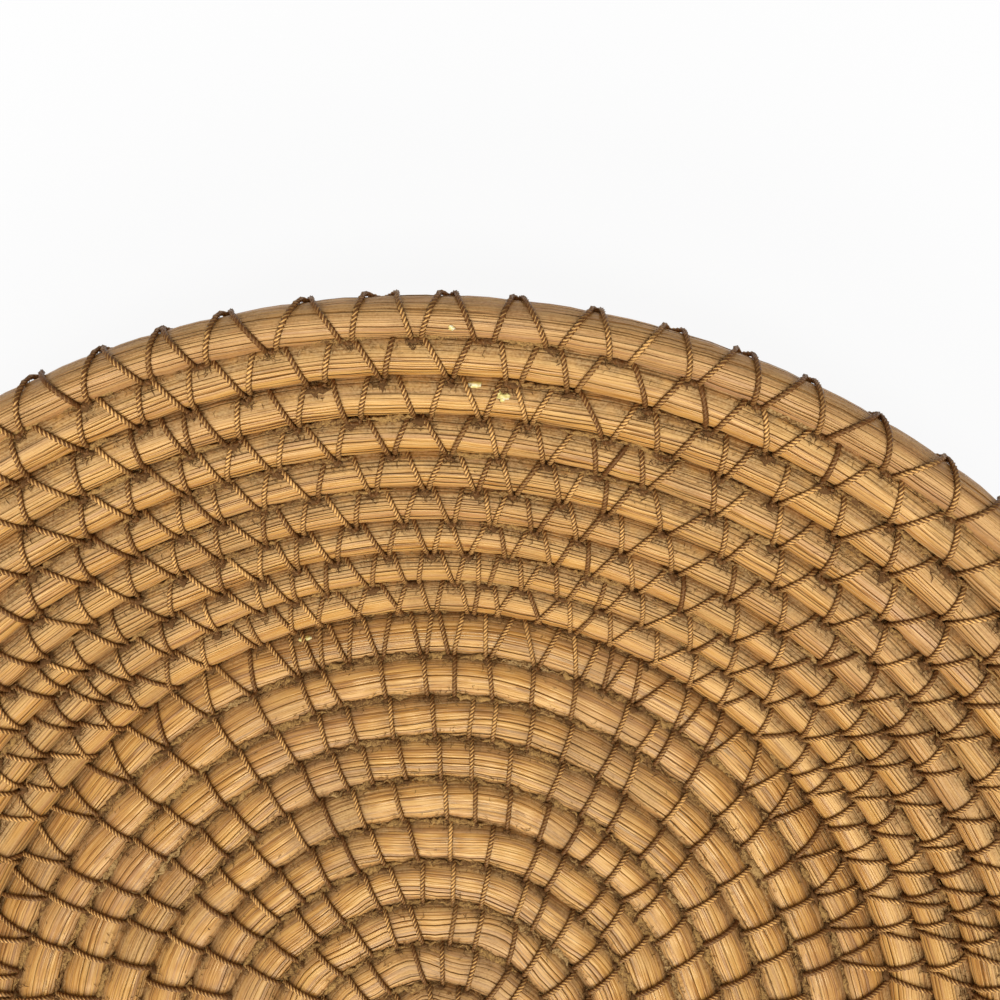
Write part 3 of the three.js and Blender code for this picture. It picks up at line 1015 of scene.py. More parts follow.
def needle_row(coil, sewing, sizes, needles, first, last, name, material):
    """The bundle from one turn to another."""
    strands = Strands()
    step = NEEDLE_STEPS[0] if last < coil.sizes.bend_turn else NEEDLE_STEPS[1]
    steps = max(int(coil.row_length((first + last) / 2.0) * (last - first) / step), LEAST_STEPS)
    grid = np.linspace(first, last, steps + 1)
    margin = STEP_MARGIN / steps * (last - first)
    add_core(strands, coil, sewing, sizes, grid)
    for needle in needles:
        start = max(needle.start, first)
        end = min(needle.end, last)
        inner = grid[(grid > start + margin) & (grid < end - margin)]
        if len(inner) < 2:
            continue
        turns = np.concatenate([[start], inner, [end]])
        rings, around, clean_and_unshaded = needle_rings(coil, sewing, sizes, needle, turns)
        rim = coil.rim(turns)
        tone = needle.tone + WALL_PALER * coil.bend(turns) + RIM_PALER * rim
        tone = tone - ALL_DARKER - GRIPPED_DARKER * (1.0 - clean_and_unshaded)
        distance = (turns - first) * coil.row_length(grid.mean())
        strands.add(
            rings,
            tone=tone[:, None],
            rosy=needle.rosy + RIM_ROSIER * rim[:, None],
            rib=np.array(NEEDLE_RIB)[None, :],
            dust=dust_and_shade_at(coil, turns, around)[:, None],
            along=distance[:, None] / MM,
            lane=sizes.around * around[:, None] / FULL_TURN,
            grain=needle.grain + SIDE_GRAIN * np.array(NEEDLE_SECTION)[None, :, 0],
        )
    return strands.build(name, material)


def spline(controls, values):
    """A smooth path through control points, with values that run evenly between them."""
    first = 2.0 * controls[:1] - controls[1:2]
    last = 2.0 * controls[-1:] - controls[-2:-1]
    padded = np.concatenate([first, controls, last])[:, None, :]
    before, start, end, after = padded[:-3], padded[1:-2], padded[2:-1], padded[3:]
    share = (np.arange(PATH_STEPS) / PATH_STEPS)[None, :, None]
    path = 0.5 * (
        2.0 * start
        + (end - before) * share
        + (2.0 * before - 5.0 * start + 4.0 * end - after) * share**2
        + (3.0 * start - before - 3.0 * end + after) * share**3
    )
    path = np.concatenate([path.reshape(-1, 3), controls[-1:]])
    flat_share = np.arange(len(path)) / PATH_STEPS
    return path, [np.interp(flat_share, np.arange(len(controls)), value) for value in values]


def thread_rings(path, heading, sizes):
    """Rings of twisted thread along a path, each corner following one ply or one groove between plies.

    It also gives how far each corner faces the side that is painted as lit, which is out and a little up;
    painted shade goes on the sides away from it.
    """
    ahead = unit(np.gradient(path, axis=0))
    out = unit(np.cross(ahead, heading))
    aside = np.cross(ahead, out)
    steps = np.linalg.norm(np.diff(path, axis=0), axis=1)
    distance = np.concatenate([[0.0], np.cumsum(steps)])
    corner = np.arange(THREAD_SIDES)
    angle = FULL_TURN * (distance[:, None] / sizes.lay + corner[None, :] / THREAD_SIDES)
    radius = 0.5 * sizes.thread_diameter * np.where(corner % 2 == 0, 1.0, PLY_GROOVE)[None, :, None]
    spokes = np.cos(angle)[:, :, None] * out[:, None, :] + np.sin(angle)[:, :, None] * aside[:, None, :]
    # the way taken as lit: out of the row and a little up
    painted_light_way = unit(out + PAINTED_LIGHT_RISE * np.maximum(out[:, 2:], 0.0) * np.array([0.0, 0.0, 1.0]))
    return path[:, None, :] + radius * spokes, distance, np.sum(spokes * painted_light_way[:, None, :], axis=-1)


def stitch_controls(sewing, hole, top, next_one, shade, fall, dirt):
    """Control points of one stitch: up out of its hole, over the row and round the back to the next hole."""
    coil = sewing.coil
    front = np.radians(FRONT_ANGLES)
    back = np.radians(BACK_ANGLES)
    mouth = math.radians(HOLE_ANGLE)
    deep = HOLE_INNER * mouth
    front_turn = sewing.front_turn(hole, top, front)
    back_turn = sewing.back_turn(hole, top, next_one, back)
    rim = smooth((top - coil.sizes.end_turn + RIM_SEWN) / RIM_SEWN_CHANGE)
    turn = np.concatenate([[hole - 1, hole - 1], front_turn, back_turn, [next_one - 1, next_one - 1]])
    around = np.concatenate([[deep, mouth], front, back, [-mouth, -deep]])
    front_lift = np.full(len(front), (FRONT_LIFT + FRONT_LIFT_MORE * coil.bend(top)) * MM) + fall
    front_lift[-len(OVER_LIFTS) :] = np.array(OVER_LIFTS) * MM * (1.0 - rim) + RIM_LIFT * rim
    back_lift = np.full(len(back), BACK_LIFT)
    lift = np.concatenate([[-HOLE_DEPTH, HOLE_MOUTH], front_lift, back_lift, [HOLE_MOUTH, -HOLE_DEPTH]])
    # grime and painted shade: full in the holes, as listed along the front, fading along the back
    back_grime_and_shade = np.linspace(*BACK_GRIME_AND_SHADE, len(back))
    grime = np.maximum(np.concatenate([[1.0, 1.0], FRONT_GRIME_AND_SHADE, back_grime_and_shade, [1.0, 1.0]]), dirt)
    return turn, around, lift, grime, np.full(len(turn), shade)


def bar_controls(hole, spread):
    """Control points of the bar of thread in the groove, from one leg of a V to the other."""
    reach = np.linspace(-1.0, 1.0, len(BAR_ANGLES))
    turn = hole - 1.0 + reach * spread
    # the bar lies in the groove and is dark all along, with grime and painted shade
    return turn, np.radians(BAR_ANGLES), np.array(BAR_LIFTS), np.ones(len(turn)), np.zeros(len(turn))


def add_thread(strands, coil, sizes, parts):
    """Adds one thread through the control points of its stitches."""
    turn, around, lift, grime, shade = (np.concatenate(part) for part in zip(*parts))
    controls = coil.skin(turn, around, lift)
    path, (turn, grime, shade) = spline(controls, (turn, grime, shade))
    rings, distance, facing = thread_rings(path, coil.heading(turn), sizes)
    strands.add(
        rings,
        ply=np.where(np.arange(THREAD_SIDES) % 2 == 0, 1.0, 0.0)[None, :],
        facing=facing,
        grime=grime[:, None],
        shade=shade[:, None],
        along=distance[:, None] / MM,
    )


def thread_row(sewing, passes, bars, name, material, rng):
    """The sewing of one row: one continuous thread for each pass over it, and the bars between the legs."""
    strands = Strands()
    for holes, tops, next_holes in passes:
        parts = []
        for hole, top, next_one in zip(holes, tops, next_holes):
            shade = rng.normal(0.0, 1.0)
            fall = rng.uniform(*SLACK) * MM
            dirt = DIRT_MOST * rng.random() ** DIRT_RARITY
            parts.append(stitch_controls(sewing, hole, top, next_one, shade, fall, dirt))
        add_thread(strands, sewing.coil, sewing.sizes, parts)
    for hole, spread in bars:
        add_thread(strands, sewing.coil, sewing.sizes, [bar_controls(hole, spread)])
    return strands.build(name, material)


def bed_turns(coil, first, last):
    """Turns of the rings of a strip of lint."""
    steps = max(int((last - first) * coil.row_length(first) / BED_STEP), LEAST_BED_STEPS)
    return np.linspace(first, last, steps + 1)


def groove_line(coil, turns, height):
    """A line in the groove outside a row, the way across it and the way out of it."""
    middle = coil.skin(turns, 0.0, -coil.press(turns)) + height * coil.inward(turns)
    return middle, coil.upward(turns), coil.inward(turns)


def skin_place(coil, turns, around, lift):
    """Places at a lift above the skin of a row, and the way out of it there."""
    place = coil.skin(turns, around, lift)
    return place, unit(coil.skin(turns, around, lift + SKIN_STEP) - place)


def skin_line(coil, turns, around, lift):
    """A line along the skin of a row, the way across it and the way out of it."""
    middle, out = skin_place(coil, turns, around, lift)
    return middle, np.cross(coil.heading(turns), out), out


def add_bed(strands, rng, line, across, deep, tones, grey):
    """Adds one lumpy strip of lint on a line, with a share of grey in it."""
    middle, aside, out = line
    steps = len(middle) - 1
    angle = FULL_TURN * np.arange(BED_SIDES) / BED_SIDES
    from_end = np.minimum(np.arange(steps + 1), np.arange(steps, -1, -1))
    ends = smooth(from_end / min(steps / 2.0, BED_TAPER))
    lumps = (BED_TIP + (1.0 - BED_TIP) * ends)[:, None] * rng.uniform(*BED_LUMPS, (steps + 1, BED_SIDES))
    shift = BED_STRAY * across * rng.normal(0.0, 1.0, steps + 1)
    middle = middle + shift[:, None] * aside
    rings = (
        middle[:, None, :]
        + (across * lumps * np.cos(angle))[:, :, None] * aside[:, None, :]
        + (deep * lumps * np.sin(angle))[:, :, None] * out[:, None, :]
    )
    strands.add(rings, tone=rng.uniform(*tones, (steps + 1, BED_SIDES)), grey=grey)


def add_beds(strands, coil, rng, first, last, fill, bed):
    """Adds strips of lint along the groove from one turn to another, with clean lengths between them."""
    across, deep, height = bed
    turn = first
    while turn < last:
        length = rng.uniform(*BED_LENGTHS) * MM / coil.row_length(turn)
        if rng.random() < fill:
            end = min(turn + length, last)
            size = across * rng.uniform(*BED_WIDTHS)
            paleness = rng.uniform(*BED_PALENESS)
            tones = (paleness - BED_MOTTLE, paleness + BED_MOTTLE)
            grey = max(0.0, rng.uniform(*BED_GREYS))
            line = groove_line(coil, bed_turns(coil, turn, end), height * rng.uniform(*BED_HEIGHTS))
            add_bed(strands, rng, line, size, deep, tones, grey)
        turn += length


def add_clumps(strands, coil, rng, holes, spreads, size):
    """Adds a dark clump of wax and lint at each stitch hole. Size 1 is the clump of a V stitch."""
    for hole, spread in zip(holes, spreads):
        row = coil.row_length(hole - 1.0)
        reach = spread + size * rng.uniform(*CLUMP_REACH) * MM / row
        middle = hole - 1.0 + rng.normal(0.0, CLUMP_STRAY) * MM / row
        turns = bed_turns(coil, middle - reach, middle + reach)
        around = math.radians(HOLE_ANGLE + rng.normal(*CLUMP_ANGLE))
        line = skin_line(coil, turns, around, CLUMP_LIFT)
        across = size * rng.uniform(*CLUMP_WIDTHS) * MM
        deep = size * rng.uniform(*CLUMP_DEPTHS) * MM
        add_bed(strands, rng, line, across, deep, CLUMP_TONES, 0.0)


def add_crumbs(strands, coil, rng, turns, around, lift, length, thick, tone):
    """Adds short fibres that lie on the skin in all directions."""
    count = len(turns)
    place, out = skin_place(coil, turns, around, lift)
    ahead = coil.heading(turns)
    aside = np.cross(out, ahead)
    way = rng.uniform(0.0, FULL_TURN, count)[:, None]
    tilt = rng.normal(0.0, CRUMB_TILT, (count, 1))
    direction = unit(np.cos(way) * ahead + np.sin(way) * aside + tilt * out)
    beside = unit(np.cross(direction, out))
    above = np.cross(beside, direction)
    bow = (rng.normal(0.0, CRUMB_BOW, count) * length)[:, None] * beside
    half = direction * length[:, None] / 2.0
    path = np.stack([place - half, place + bow, place + half], 1)
    girth = 0.5 * thick[:, None] * np.array(CRUMB_GIRTH)[None, :]
    corner = (FULL_TURN * np.arange(CRUMB_SIDES) / CRUMB_SIDES)[None, :, None]
    spokes = np.cos(corner) * beside[:, None, :] + np.sin(corner) * above[:, None, :]
    rings = path[:, :, None, :] + girth[:, :, None, None] * spokes[:, None, :, :]
    for crumb in range(count):
        strands.add(rings[crumb], tone=tone[crumb], grey=CRUMB_GREY * max(tone[crumb], 0.0))


def scatter_crumbs(strands, coil, rng, first, last, count, angles):
    """Adds crumbs along the groove between two turns, at angles given by their mean and spread."""
    turns = rng.uniform(first, last, count)
    around = np.radians(rng.normal(*angles, count))
    lift = rng.uniform(*CRUMB_LIFTS, count) * MM
    length = rng.uniform(*CRUMB_LENGTHS, count) * MM
    thick = rng.uniform(*CRUMB_THICKS, count) * MM
    tone = rng.beta(*CRUMB_TONES, count)
    add_crumbs(strands, coil, rng, turns, around, lift, length, thick, tone)


def hole_fibres(strands, coil, rng, holes, each):
    """Adds dark fibres round stitch holes."""
    turns = np.repeat(holes - 1.0, each)
    count = len(turns)
    turns = turns + rng.normal(0.0, FIBRE_STRAY, count) * MM / coil.row_length(turns)
    around = np.radians(rng.normal(*FIBRE_ANGLES, count))
    lift = rng.uniform(*FIBRE_LIFTS, count) * MM
    length = rng.uniform(*FIBRE_LENGTHS, count) * MM
    thick = rng.uniform(*FIBRE_THICKS, count) * MM
    tone = FIBRE_TONE_RANGE * rng.beta(*FIBRE_TONES, count) - FIBRE_DARKER
    add_crumbs(strands, coil, rng, turns, around, lift, length, thick, tone)


def add_wisp(strands, coil, rng):
    """Adds the fibres of a frayed end."""
    turn, around = WISP
    count = WISP_FIBRES
    turns = np.full(count, turn) + rng.normal(0.0, WISP_STRAY, count) * MM / coil.row_length(turn)
    places = np.radians(rng.normal(around, WISP_SPREAD, count))
    length = rng.uniform(*WISP_LENGTHS, count) * MM
    lift = np.full(count, WISP_LIFT)
    thick = np.full(count, WISP_THICK)
    add_crumbs(strands, coil, rng, turns, places, lift, length, thick, np.ones(count))


def add_fleck(strands, coil, rng, turn, around, length, width):
    """Adds a thin ragged flake that lies on the skin."""
    angle = FULL_TURN * np.arange(FLECK_CORNERS) / FLECK_CORNERS
    ragged = rng.uniform(*FLECK_RAGGED, FLECK_CORNERS)
    turns = turn + 0.5 * length * ragged * np.cos(angle) / coil.row_length(turn)
    places = around + 0.5 * width * ragged * np.sin(angle) / (0.5 * coil.sizes.bundle_height)
    low = coil.skin(turns, places, np.full(FLECK_CORNERS, -FLECK_HALF))
    high = coil.skin(turns, places, np.full(FLECK_CORNERS, FLECK_HALF))
    rings = np.stack([low, high])
    facing = np.cross(rings[0, 1] - rings[0, 0], rings[0, 2] - rings[0, 1])
    if np.dot(facing, high[0] - low[0]) < 0.0:
        rings = rings[:, ::-1]
    strands.add(rings, tone=rng.uniform(0.0, 1.0, (2, FLECK_CORNERS)))


def new_material(name):
    """An empty node material, its shader and a function that adds linked nodes."""
    material = bpy.data.materials.new(name)
    material.use_nodes = True
    tree = material.node_tree
    shader = tree.nodes["Principled BSDF"]

    def add(kind, settings=None, **links):
        node = tree.nodes.new(kind)
        for key, value in (settings or {}).items():
            setattr(node, key, value)
        for key, value in links.items():
            socket = node.inputs[int(key[1:])] if key[0] == "_" else node.inputs[key]
            if isinstance(value, bpy.types.NodeSocket):
                tree.links.new(value, socket)
            else:
                socket.default_value = value
        return node

    return material, shader, add


def set_shader(material, shader, inputs):
    """Links nodes to the shader, and sets plain values on the shader's own sockets."""
    for name, value in inputs.items():
        if isinstance(value, bpy.types.NodeSocket):
            material.node_tree.links.new(value, shader.inputs[name])
        else:
            shader.inputs[name].default_value = value


def value_of(add, name):
    """Reads one of the values at a piece's points."""
    return add("ShaderNodeAttribute", {"attribute_name": name}).outputs["Fac"]


def math_node(add, operation, first, second):
    """The result of one step of arithmetic."""
    return add("ShaderNodeMath", {"operation": operation}, _0=first, _1=second).outputs[0]


def mix_node(add, share, first, second):
    """One colour laid over another."""
    node = add("ShaderNodeMix", {"data_type": "RGBA", "blend_type": "MIX"}, _0=share, _6=first, _7=second)
    return node.outputs[2]


def range_node(add, value, before, after):
    """A value carried from one range to another."""
    ends = {"_1": before[0], "_2": before[1], "_3": after[0], "_4": after[1]}
    return add("ShaderNodeMapRange", None, _0=value, **ends).outputs[0]


def ramp_node(add, value, stops):
    """A run of colours."""
    node = add("ShaderNodeValToRGB", None, Fac=value)
    while len(node.color_ramp.elements) < len(stops):
        node.color_ramp.elements.new(0.5)
    for element, (place, colour) in zip(node.color_ramp.elements, stops):
        element.position = place
        element.color = (*colour, 1.0)
    return node.outputs["Color"]


def bump_node(add, height, strength, distance):
    """A relief that is too fine for the mesh."""
    return add("ShaderNodeBump", None, Height=height, Strength=strength, Distance=distance).outputs[0]


def noise_node(add, place, scale, detail):
    """Noise from about 0 to 1."""
    return add("ShaderNodeTexNoise", None, Vector=place, Scale=scale, Detail=detail).outputs["Fac"]


def grain_noise(add, along_scale, across_scale, detail, side="grain"):
    """Streaks that run along a needle, or along a band of needles where the side is their lane."""
    along = math_node(add, "MULTIPLY", value_of(add, "along"), along_scale)
    across = math_node(add, "MULTIPLY", value_of(add, side), across_scale)
    place = add("ShaderNodeCombineXYZ", None, X=along, Y=across)
    return noise_node(add, place.outputs[0], 1.0, detail)


def place_noise(add, scale, detail):
    """Blotches in the space of the basket."""
    return noise_node(add, add("ShaderNodeTexCoord").outputs["Object"], scale, detail)


def rgba(colour):
    """A colour with its alpha."""
    return (*colour, 1.0)


def blended(first, second, share):
    """A colour between two others, with a share of the second."""
    return [(1.0 - share) * one + share * other for one, other in zip(first, second)]


def needle_material(name, finishes, seam_shade_share):
    """Dry needles: toned one by one, streaked along them, with painted shade in the seams, and dust, partly
    painted shade, in the grooves and under the next row.
    """
    material, shader, add = new_material(name)
    streak = grain_noise(add, along_scale=0.05, across_scale=1.7, detail=2.0)
    fine = grain_noise(add, along_scale=0.16, across_scale=2.6, detail=2.0)
    breaks = grain_noise(add, along_scale=0.08, across_scale=1.0, detail=1.0)
    bands = grain_noise(add, along_scale=0.045, across_scale=0.3, detail=2.0, side="lane")
    speckle = place_noise(add, scale=2600.0, detail=2.0)

    tone = math_node(add, "ADD", value_of(add, "tone"), range_node(add, streak, MOST_NOISE, (-0.2, 0.2)))
    tone = math_node(add, "ADD", tone, range_node(add, fine, MOST_NOISE, (-0.3, 0.26)))
    tone = math_node(add, "ADD", tone, range_node(add, bands, (0.34, 0.66), (-0.26, 0.26)))
    stops = (
        (0.0, finishes.needle_dark),
        (0.24, finishes.needle_orange),
        (0.58, finishes.needle_golden),
        (1.0, finishes.needle_tan),
    )
    colour = ramp_node(add, tone, stops)
    patches = range_node(add, place_noise(add, scale=45.0, detail=3.0), (0.48, 0.7), (0.0, 0.3))
    rose = math_node(add, "ADD", value_of(add, "rosy"), patches)
    colour = mix_node(add, rose, colour, rgba(finishes.needle_rose))

    # dust, partly painted shade in the grooves and under the next row
    blotch = range_node(add, place_noise(add, scale=420.0, detail=3.0), (0.35, 0.62), (0.45, 0.95))
    dull = range_node(add, place_noise(add, scale=55.0, detail=3.0), (0.52, 0.72), (0.0, 0.6))
    dust = math_node(add, "MULTIPLY", value_of(add, "dust"), blotch)
    dust = math_node(add, "MAXIMUM", dust, dull)
    grain = range_node(add, math_node(add, "ADD", speckle, fine), (0.82, 1.14), NO_TO_FULL)
    dust_and_shade_colour = mix_node(add, grain, rgba(finishes.dust_and_shade_dark), rgba(finishes.dust_and_shade_pale))
    colour = mix_node(add, dust, colour, dust_and_shade_colour)

    # painted shade in the seams between the needles, where the rib is low
    seam_shade = range_node(add, value_of(add, "rib"), (0.05, 0.85), (seam_shade_share, 0.0))
    seam_shade = math_node(add, "MULTIPLY", seam_shade, range_node(add, breaks, (0.42, 0.64), NO_TO_FULL))
    colour = mix_node(add, seam_shade, colour, rgba(finishes.needle_dark))
    rough = range_node(add, streak, WIDE_NOISE, NEEDLE_ROUGHNESS)
    dry = math_node(add, "MULTIPLY", math_node(add, "MAXIMUM", dust, seam_shade), 0.5)
    height = math_node(add, "ADD", fine, math_node(add, "MULTIPLY", dust, speckle))
    inputs = {
        "Base Color": colour,
        "Roughness": math_node(add, "ADD", rough, dry),
        "Normal": bump_node(add, height, strength=0.16, distance=0.2 * MM),
        "Specular IOR Level": NEEDLE_GLOSS,
        "Specular Tint": WARM_SHEEN,
    }
    set_shader(material, shader, inputs)
    return material


def thread_material(name, finishes):
    """Waxed thread: a painted highlight on the plies, painted shade between them and on its flanks, and
    grime with painted shade by the holes and in the grooves.
    """
    material, shader, add = new_material(name)
    ply = value_of(add, "ply")
    along = math_node(add, "MULTIPLY", value_of(add, "along"), 1.7)
    place = add("ShaderNodeCombineXYZ", None, X=along, Y=math_node(add, "MULTIPLY", ply, 4.0))
    fibre = noise_node(add, place.outputs[0], scale=1.0, detail=3.0)
    crest = math_node(add, "ADD", ply, range_node(add, fibre, WIDE_NOISE, (-0.28, 0.28)))
    crest = math_node(add, "ADD", crest, math_node(add, "MULTIPLY", value_of(add, "shade"), 0.13))
    middle = blended(finishes.thread_dark, finishes.thread_light, THREAD_MIDDLE)
    # the crests of the plies carry a painted highlight, the grooves between them painted shade
    stops = ((0.32, finishes.thread_dark), (0.64, middle), (0.88, finishes.thread_light))
    # painted shade on the flanks of the thread, away from the side taken as lit
    flank_shade = range_node(add, value_of(add, "facing"), (0.2, 0.65), (0.9, 0.0))
    # grime, with painted shade by the holes, in the grooves and over the top of the row
    grime = math_node(add, "MULTIPLY", value_of(add, "grime"), 0.85)
    dark = math_node(add, "MAXIMUM", flank_shade, grime)
    inputs = {
        "Base Color": mix_node(add, dark, ramp_node(add, crest, stops), rgba(finishes.thread_dark)),
        "Roughness": range_node(add, fibre, WIDE_NOISE, THREAD_ROUGHNESS),
        "Normal": bump_node(add, fibre, strength=0.3, distance=0.1 * MM),
        "Specular IOR Level": THREAD_GLOSS,
        "Specular Tint": WARM_SHEEN,
    }
    set_shader(material, shader, inputs)
    return material


def lint_material(name, finishes):
    """Lint and dust: dull fibres from dark brown to a pale, dull tan."""
    material, shader, add = new_material(name)
    fluff = place_noise(add, scale=3400.0, detail=3.0)
    tone = math_node(add, "ADD", value_of(add, "tone"), range_node(add, fluff, (0.35, 0.65), (-0.4, 0.4)))
    middle = blended(finishes.lint_dark, finishes.lint_pale, LINT_MIDDLE)
    stops = ((0.0, finishes.lint_dark), (0.5, middle), (1.0, finishes.lint_pale))
    grey = math_node(add, "MULTIPLY", value_of(add, "grey"), range_node(add, tone, (0.3, 0.9), NO_TO_FULL))
    inputs = {
        "Base Color": mix_node(add, grey, ramp_node(add, tone, stops), rgba(finishes.lint_grey)),
        "Normal": bump_node(add, fluff, strength=0.8, distance=0.3 * MM),
        "Roughness": 0.95,
        "Specular IOR Level": 0.2,
    }
    set_shader(material, shader, inputs)
    return material


def wax_material(name, finishes):
    """Dry wax: pale yellow, cloudy and a little glossy."""
    material, shader, add = new_material(name)
    cloud = place_noise(add, scale=1800.0, detail=2.0)
    tone = math_node(add, "ADD", value_of(add, "tone"), range_node(add, cloud, WIDE_NOISE, (-0.3, 0.3)))
    pale = [0.5 + 0.5 * part for part in finishes.wax]
    deep = [0.7 * part for part in finishes.wax]
    inputs = {
        "Base Color": ramp_node(add, tone, ((0.1, deep), (0.5, finishes.wax), (0.95, pale))),
        "Normal": bump_node(add, cloud, strength=0.5, distance=0.2 * MM),
        "Roughness": 0.35,
    }
    set_shader(material, shader, inputs)
    return material


def seen_rays(add):
    """1 for what the camera sees, straight or by way of gloss or glass."""
    path = add("ShaderNodeLightPath")
    seen = math_node(add, "MAXIMUM", path.outputs["Is Camera Ray"], path.outputs["Is Glossy Ray"])
    return math_node(add, "MAXIMUM", seen, path.outputs["Is Transmission Ray"])


def floor_material(sizes):
    """The plain pale floor, a little brighter for the camera, so that it is white and keeps the shadow."""
    material, shader, add = new_material("pale_floor")
    tree = material.node_tree
    shade = range_node(add, place_noise(add, scale=6.0, detail=2.0), WIDE_NOISE, (0.97, 1.0))
    inputs = {
        "Base Color": mix_node(add, shade, FLOOR_SHADE, rgba(sizes.floor_colour)),
        "Roughness": 0.8,
        "Specular IOR Level": 0.1,
    }
    set_shader(material, shader, inputs)
    white = add("ShaderNodeEmission", None, Color=WHITE, Strength=1.0)
    share = math_node(add, "MULTIPLY", seen_rays(add), sizes.floor_glow)
    blend = add("ShaderNodeMixShader", None, _0=share, _1=shader.outputs[0], _2=white.outputs[0])
    tree.links.new(blend.outputs[0], tree.nodes["Material Output"].inputs["Surface"])
    return material


def row_bounds(coil, row):
    """First and last turn of a row. The first row also has the start, and the last one ends at the tail."""
    first = coil.sizes.first_turn if row == 0 else row + ROW_START
    last = min(row + 1 + ROW_START, coil.sizes.end_turn)
    return first, last


def base_row_count(coil):
    """Rows of the base."""
    return round(coil.sizes.wall_turn - ROW_START)


def wall_row_count(coil):
    """Rows of the wall."""
    return round(coil.sizes.end_turn - coil.sizes.wall_turn)


def sewn_rows(holes, first_turn):
    """The row that each stitch is in, counted from the first turn."""
    return np.floor(holes - first_turn + ROUNDING).astype(int)


def coil_and_sewing(scene):
    """The coil and its sewing, from the scene's settings."""
    coil = Coil(scene.basket_coil)
    return coil, Sewing(coil, scene.basket_sewing)


def lay_rows(scene, coil, sewing, rows, node, slot, seam_shade_share):
    """Lays rows of needles, which stand for one CAD node."""
    sizes = scene.basket_needles
    needles = lay_needles(coil, sizes)
    material = needle_material(slot, scene.basket_finishes, seam_shade_share)
    for number, row in enumerate(rows, start=1):
        first, last = row_bounds(coil, row)
        name = f"{slot}_row_{number:02d}"
        piece = needle_row(coil, sewing, sizes, needles, first, last, name, material)
        dress(piece, node)


class BASKET_OT_base_needles(bpy.types.Operator):
    """Lay the needles of the base, row by row"""

    bl_idname = "basket.base_needles"
    bl_label = "Base needles"

    def execute(self, context):
        coil, sewing = coil_and_sewing(context.scene)
        rows = range(base_row_count(coil))
        lay_rows(context.scene, coil, sewing, rows, "base_coil", "base_needles", BASE_SEAM_SHADE)
        return {"FINISHED"}


class BASKET_OT_wall_needles(bpy.types.Operator):
    """Lay the needles of the wall, row by row"""

    bl_idname = "basket.wall_needles"
    bl_label = "Wall needles"

    def execute(self, context):
        coil, sewing = coil_and_sewing(context.scene)
        first = base_row_count(coil)
        rows = range(first, first + wall_row_count(coil))
        lay_rows(context.scene, coil, sewing, rows, "wall_coil", "wall_needles", WALL_SEAM_SHADE)
        return {"FINISHED"}


class BASKET_OT_straight_stitches(bpy.types.Operator):
    """Sew the rows of the base with straight stitches"""

    bl_idname = "basket.straight_stitches"
    bl_label = "Straight stitches"

    def execute(self, context):
        coil, sewing = coil_and_sewing(context.scene)
        material = thread_material("straight_thread", context.scene.basket_finishes)
        rng = np.random.default_rng(SEED + 3)
        straight = sewing.runs()[0]
        rows = sewn_rows(sewing.straight_holes, sewing.sizes.first_turn)
        for row in range(base_row_count(coil) - 1):
            passes = [[part[rows == row] for part in straight]]
            name = f"straight_thread_row_{row + 1:02d}"
            piece = thread_row(sewing, passes, (), name, material, rng)
            dress(piece, f"straight_stitches_row_{row + 1:02d}")
        return {"FINISHED"}


class BASKET_OT_v_stitches(bpy.types.Operator):
    """Sew the rows of the wall with V stitches, in two passes through the same holes"""

    bl_idname = "basket.v_stitches"
    bl_label = "V stitches"

    def execute(self, context):
        coil, sewing = coil_and_sewing(context.scene)
        material = thread_material("v_thread", context.scene.basket_finishes)
        rng = np.random.default_rng(SEED + 4)
        holes = sewing.v_holes
        ahead, back = sewing.runs()[1:]
        rows = sewn_rows(holes, coil.sizes.wall_turn)
        margins = sewing.v_spreads + BAR_MARGIN / coil.row_length(holes)
        for row in range(wall_row_count(coil)):
            in_row = np.flatnonzero(rows == row)
            passes = [[part[in_row] for part in ahead], [part[in_row[::-1]] for part in back]]
            bars = list(zip(holes[in_row], margins[in_row]))
            name = f"v_thread_row_{row + 1:02d}"
            piece = thread_row(sewing, passes, bars, name, material, rng)
            dress(piece, f"v_stitches_row_{row + 1:02d}")
        return {"FINISHED"}


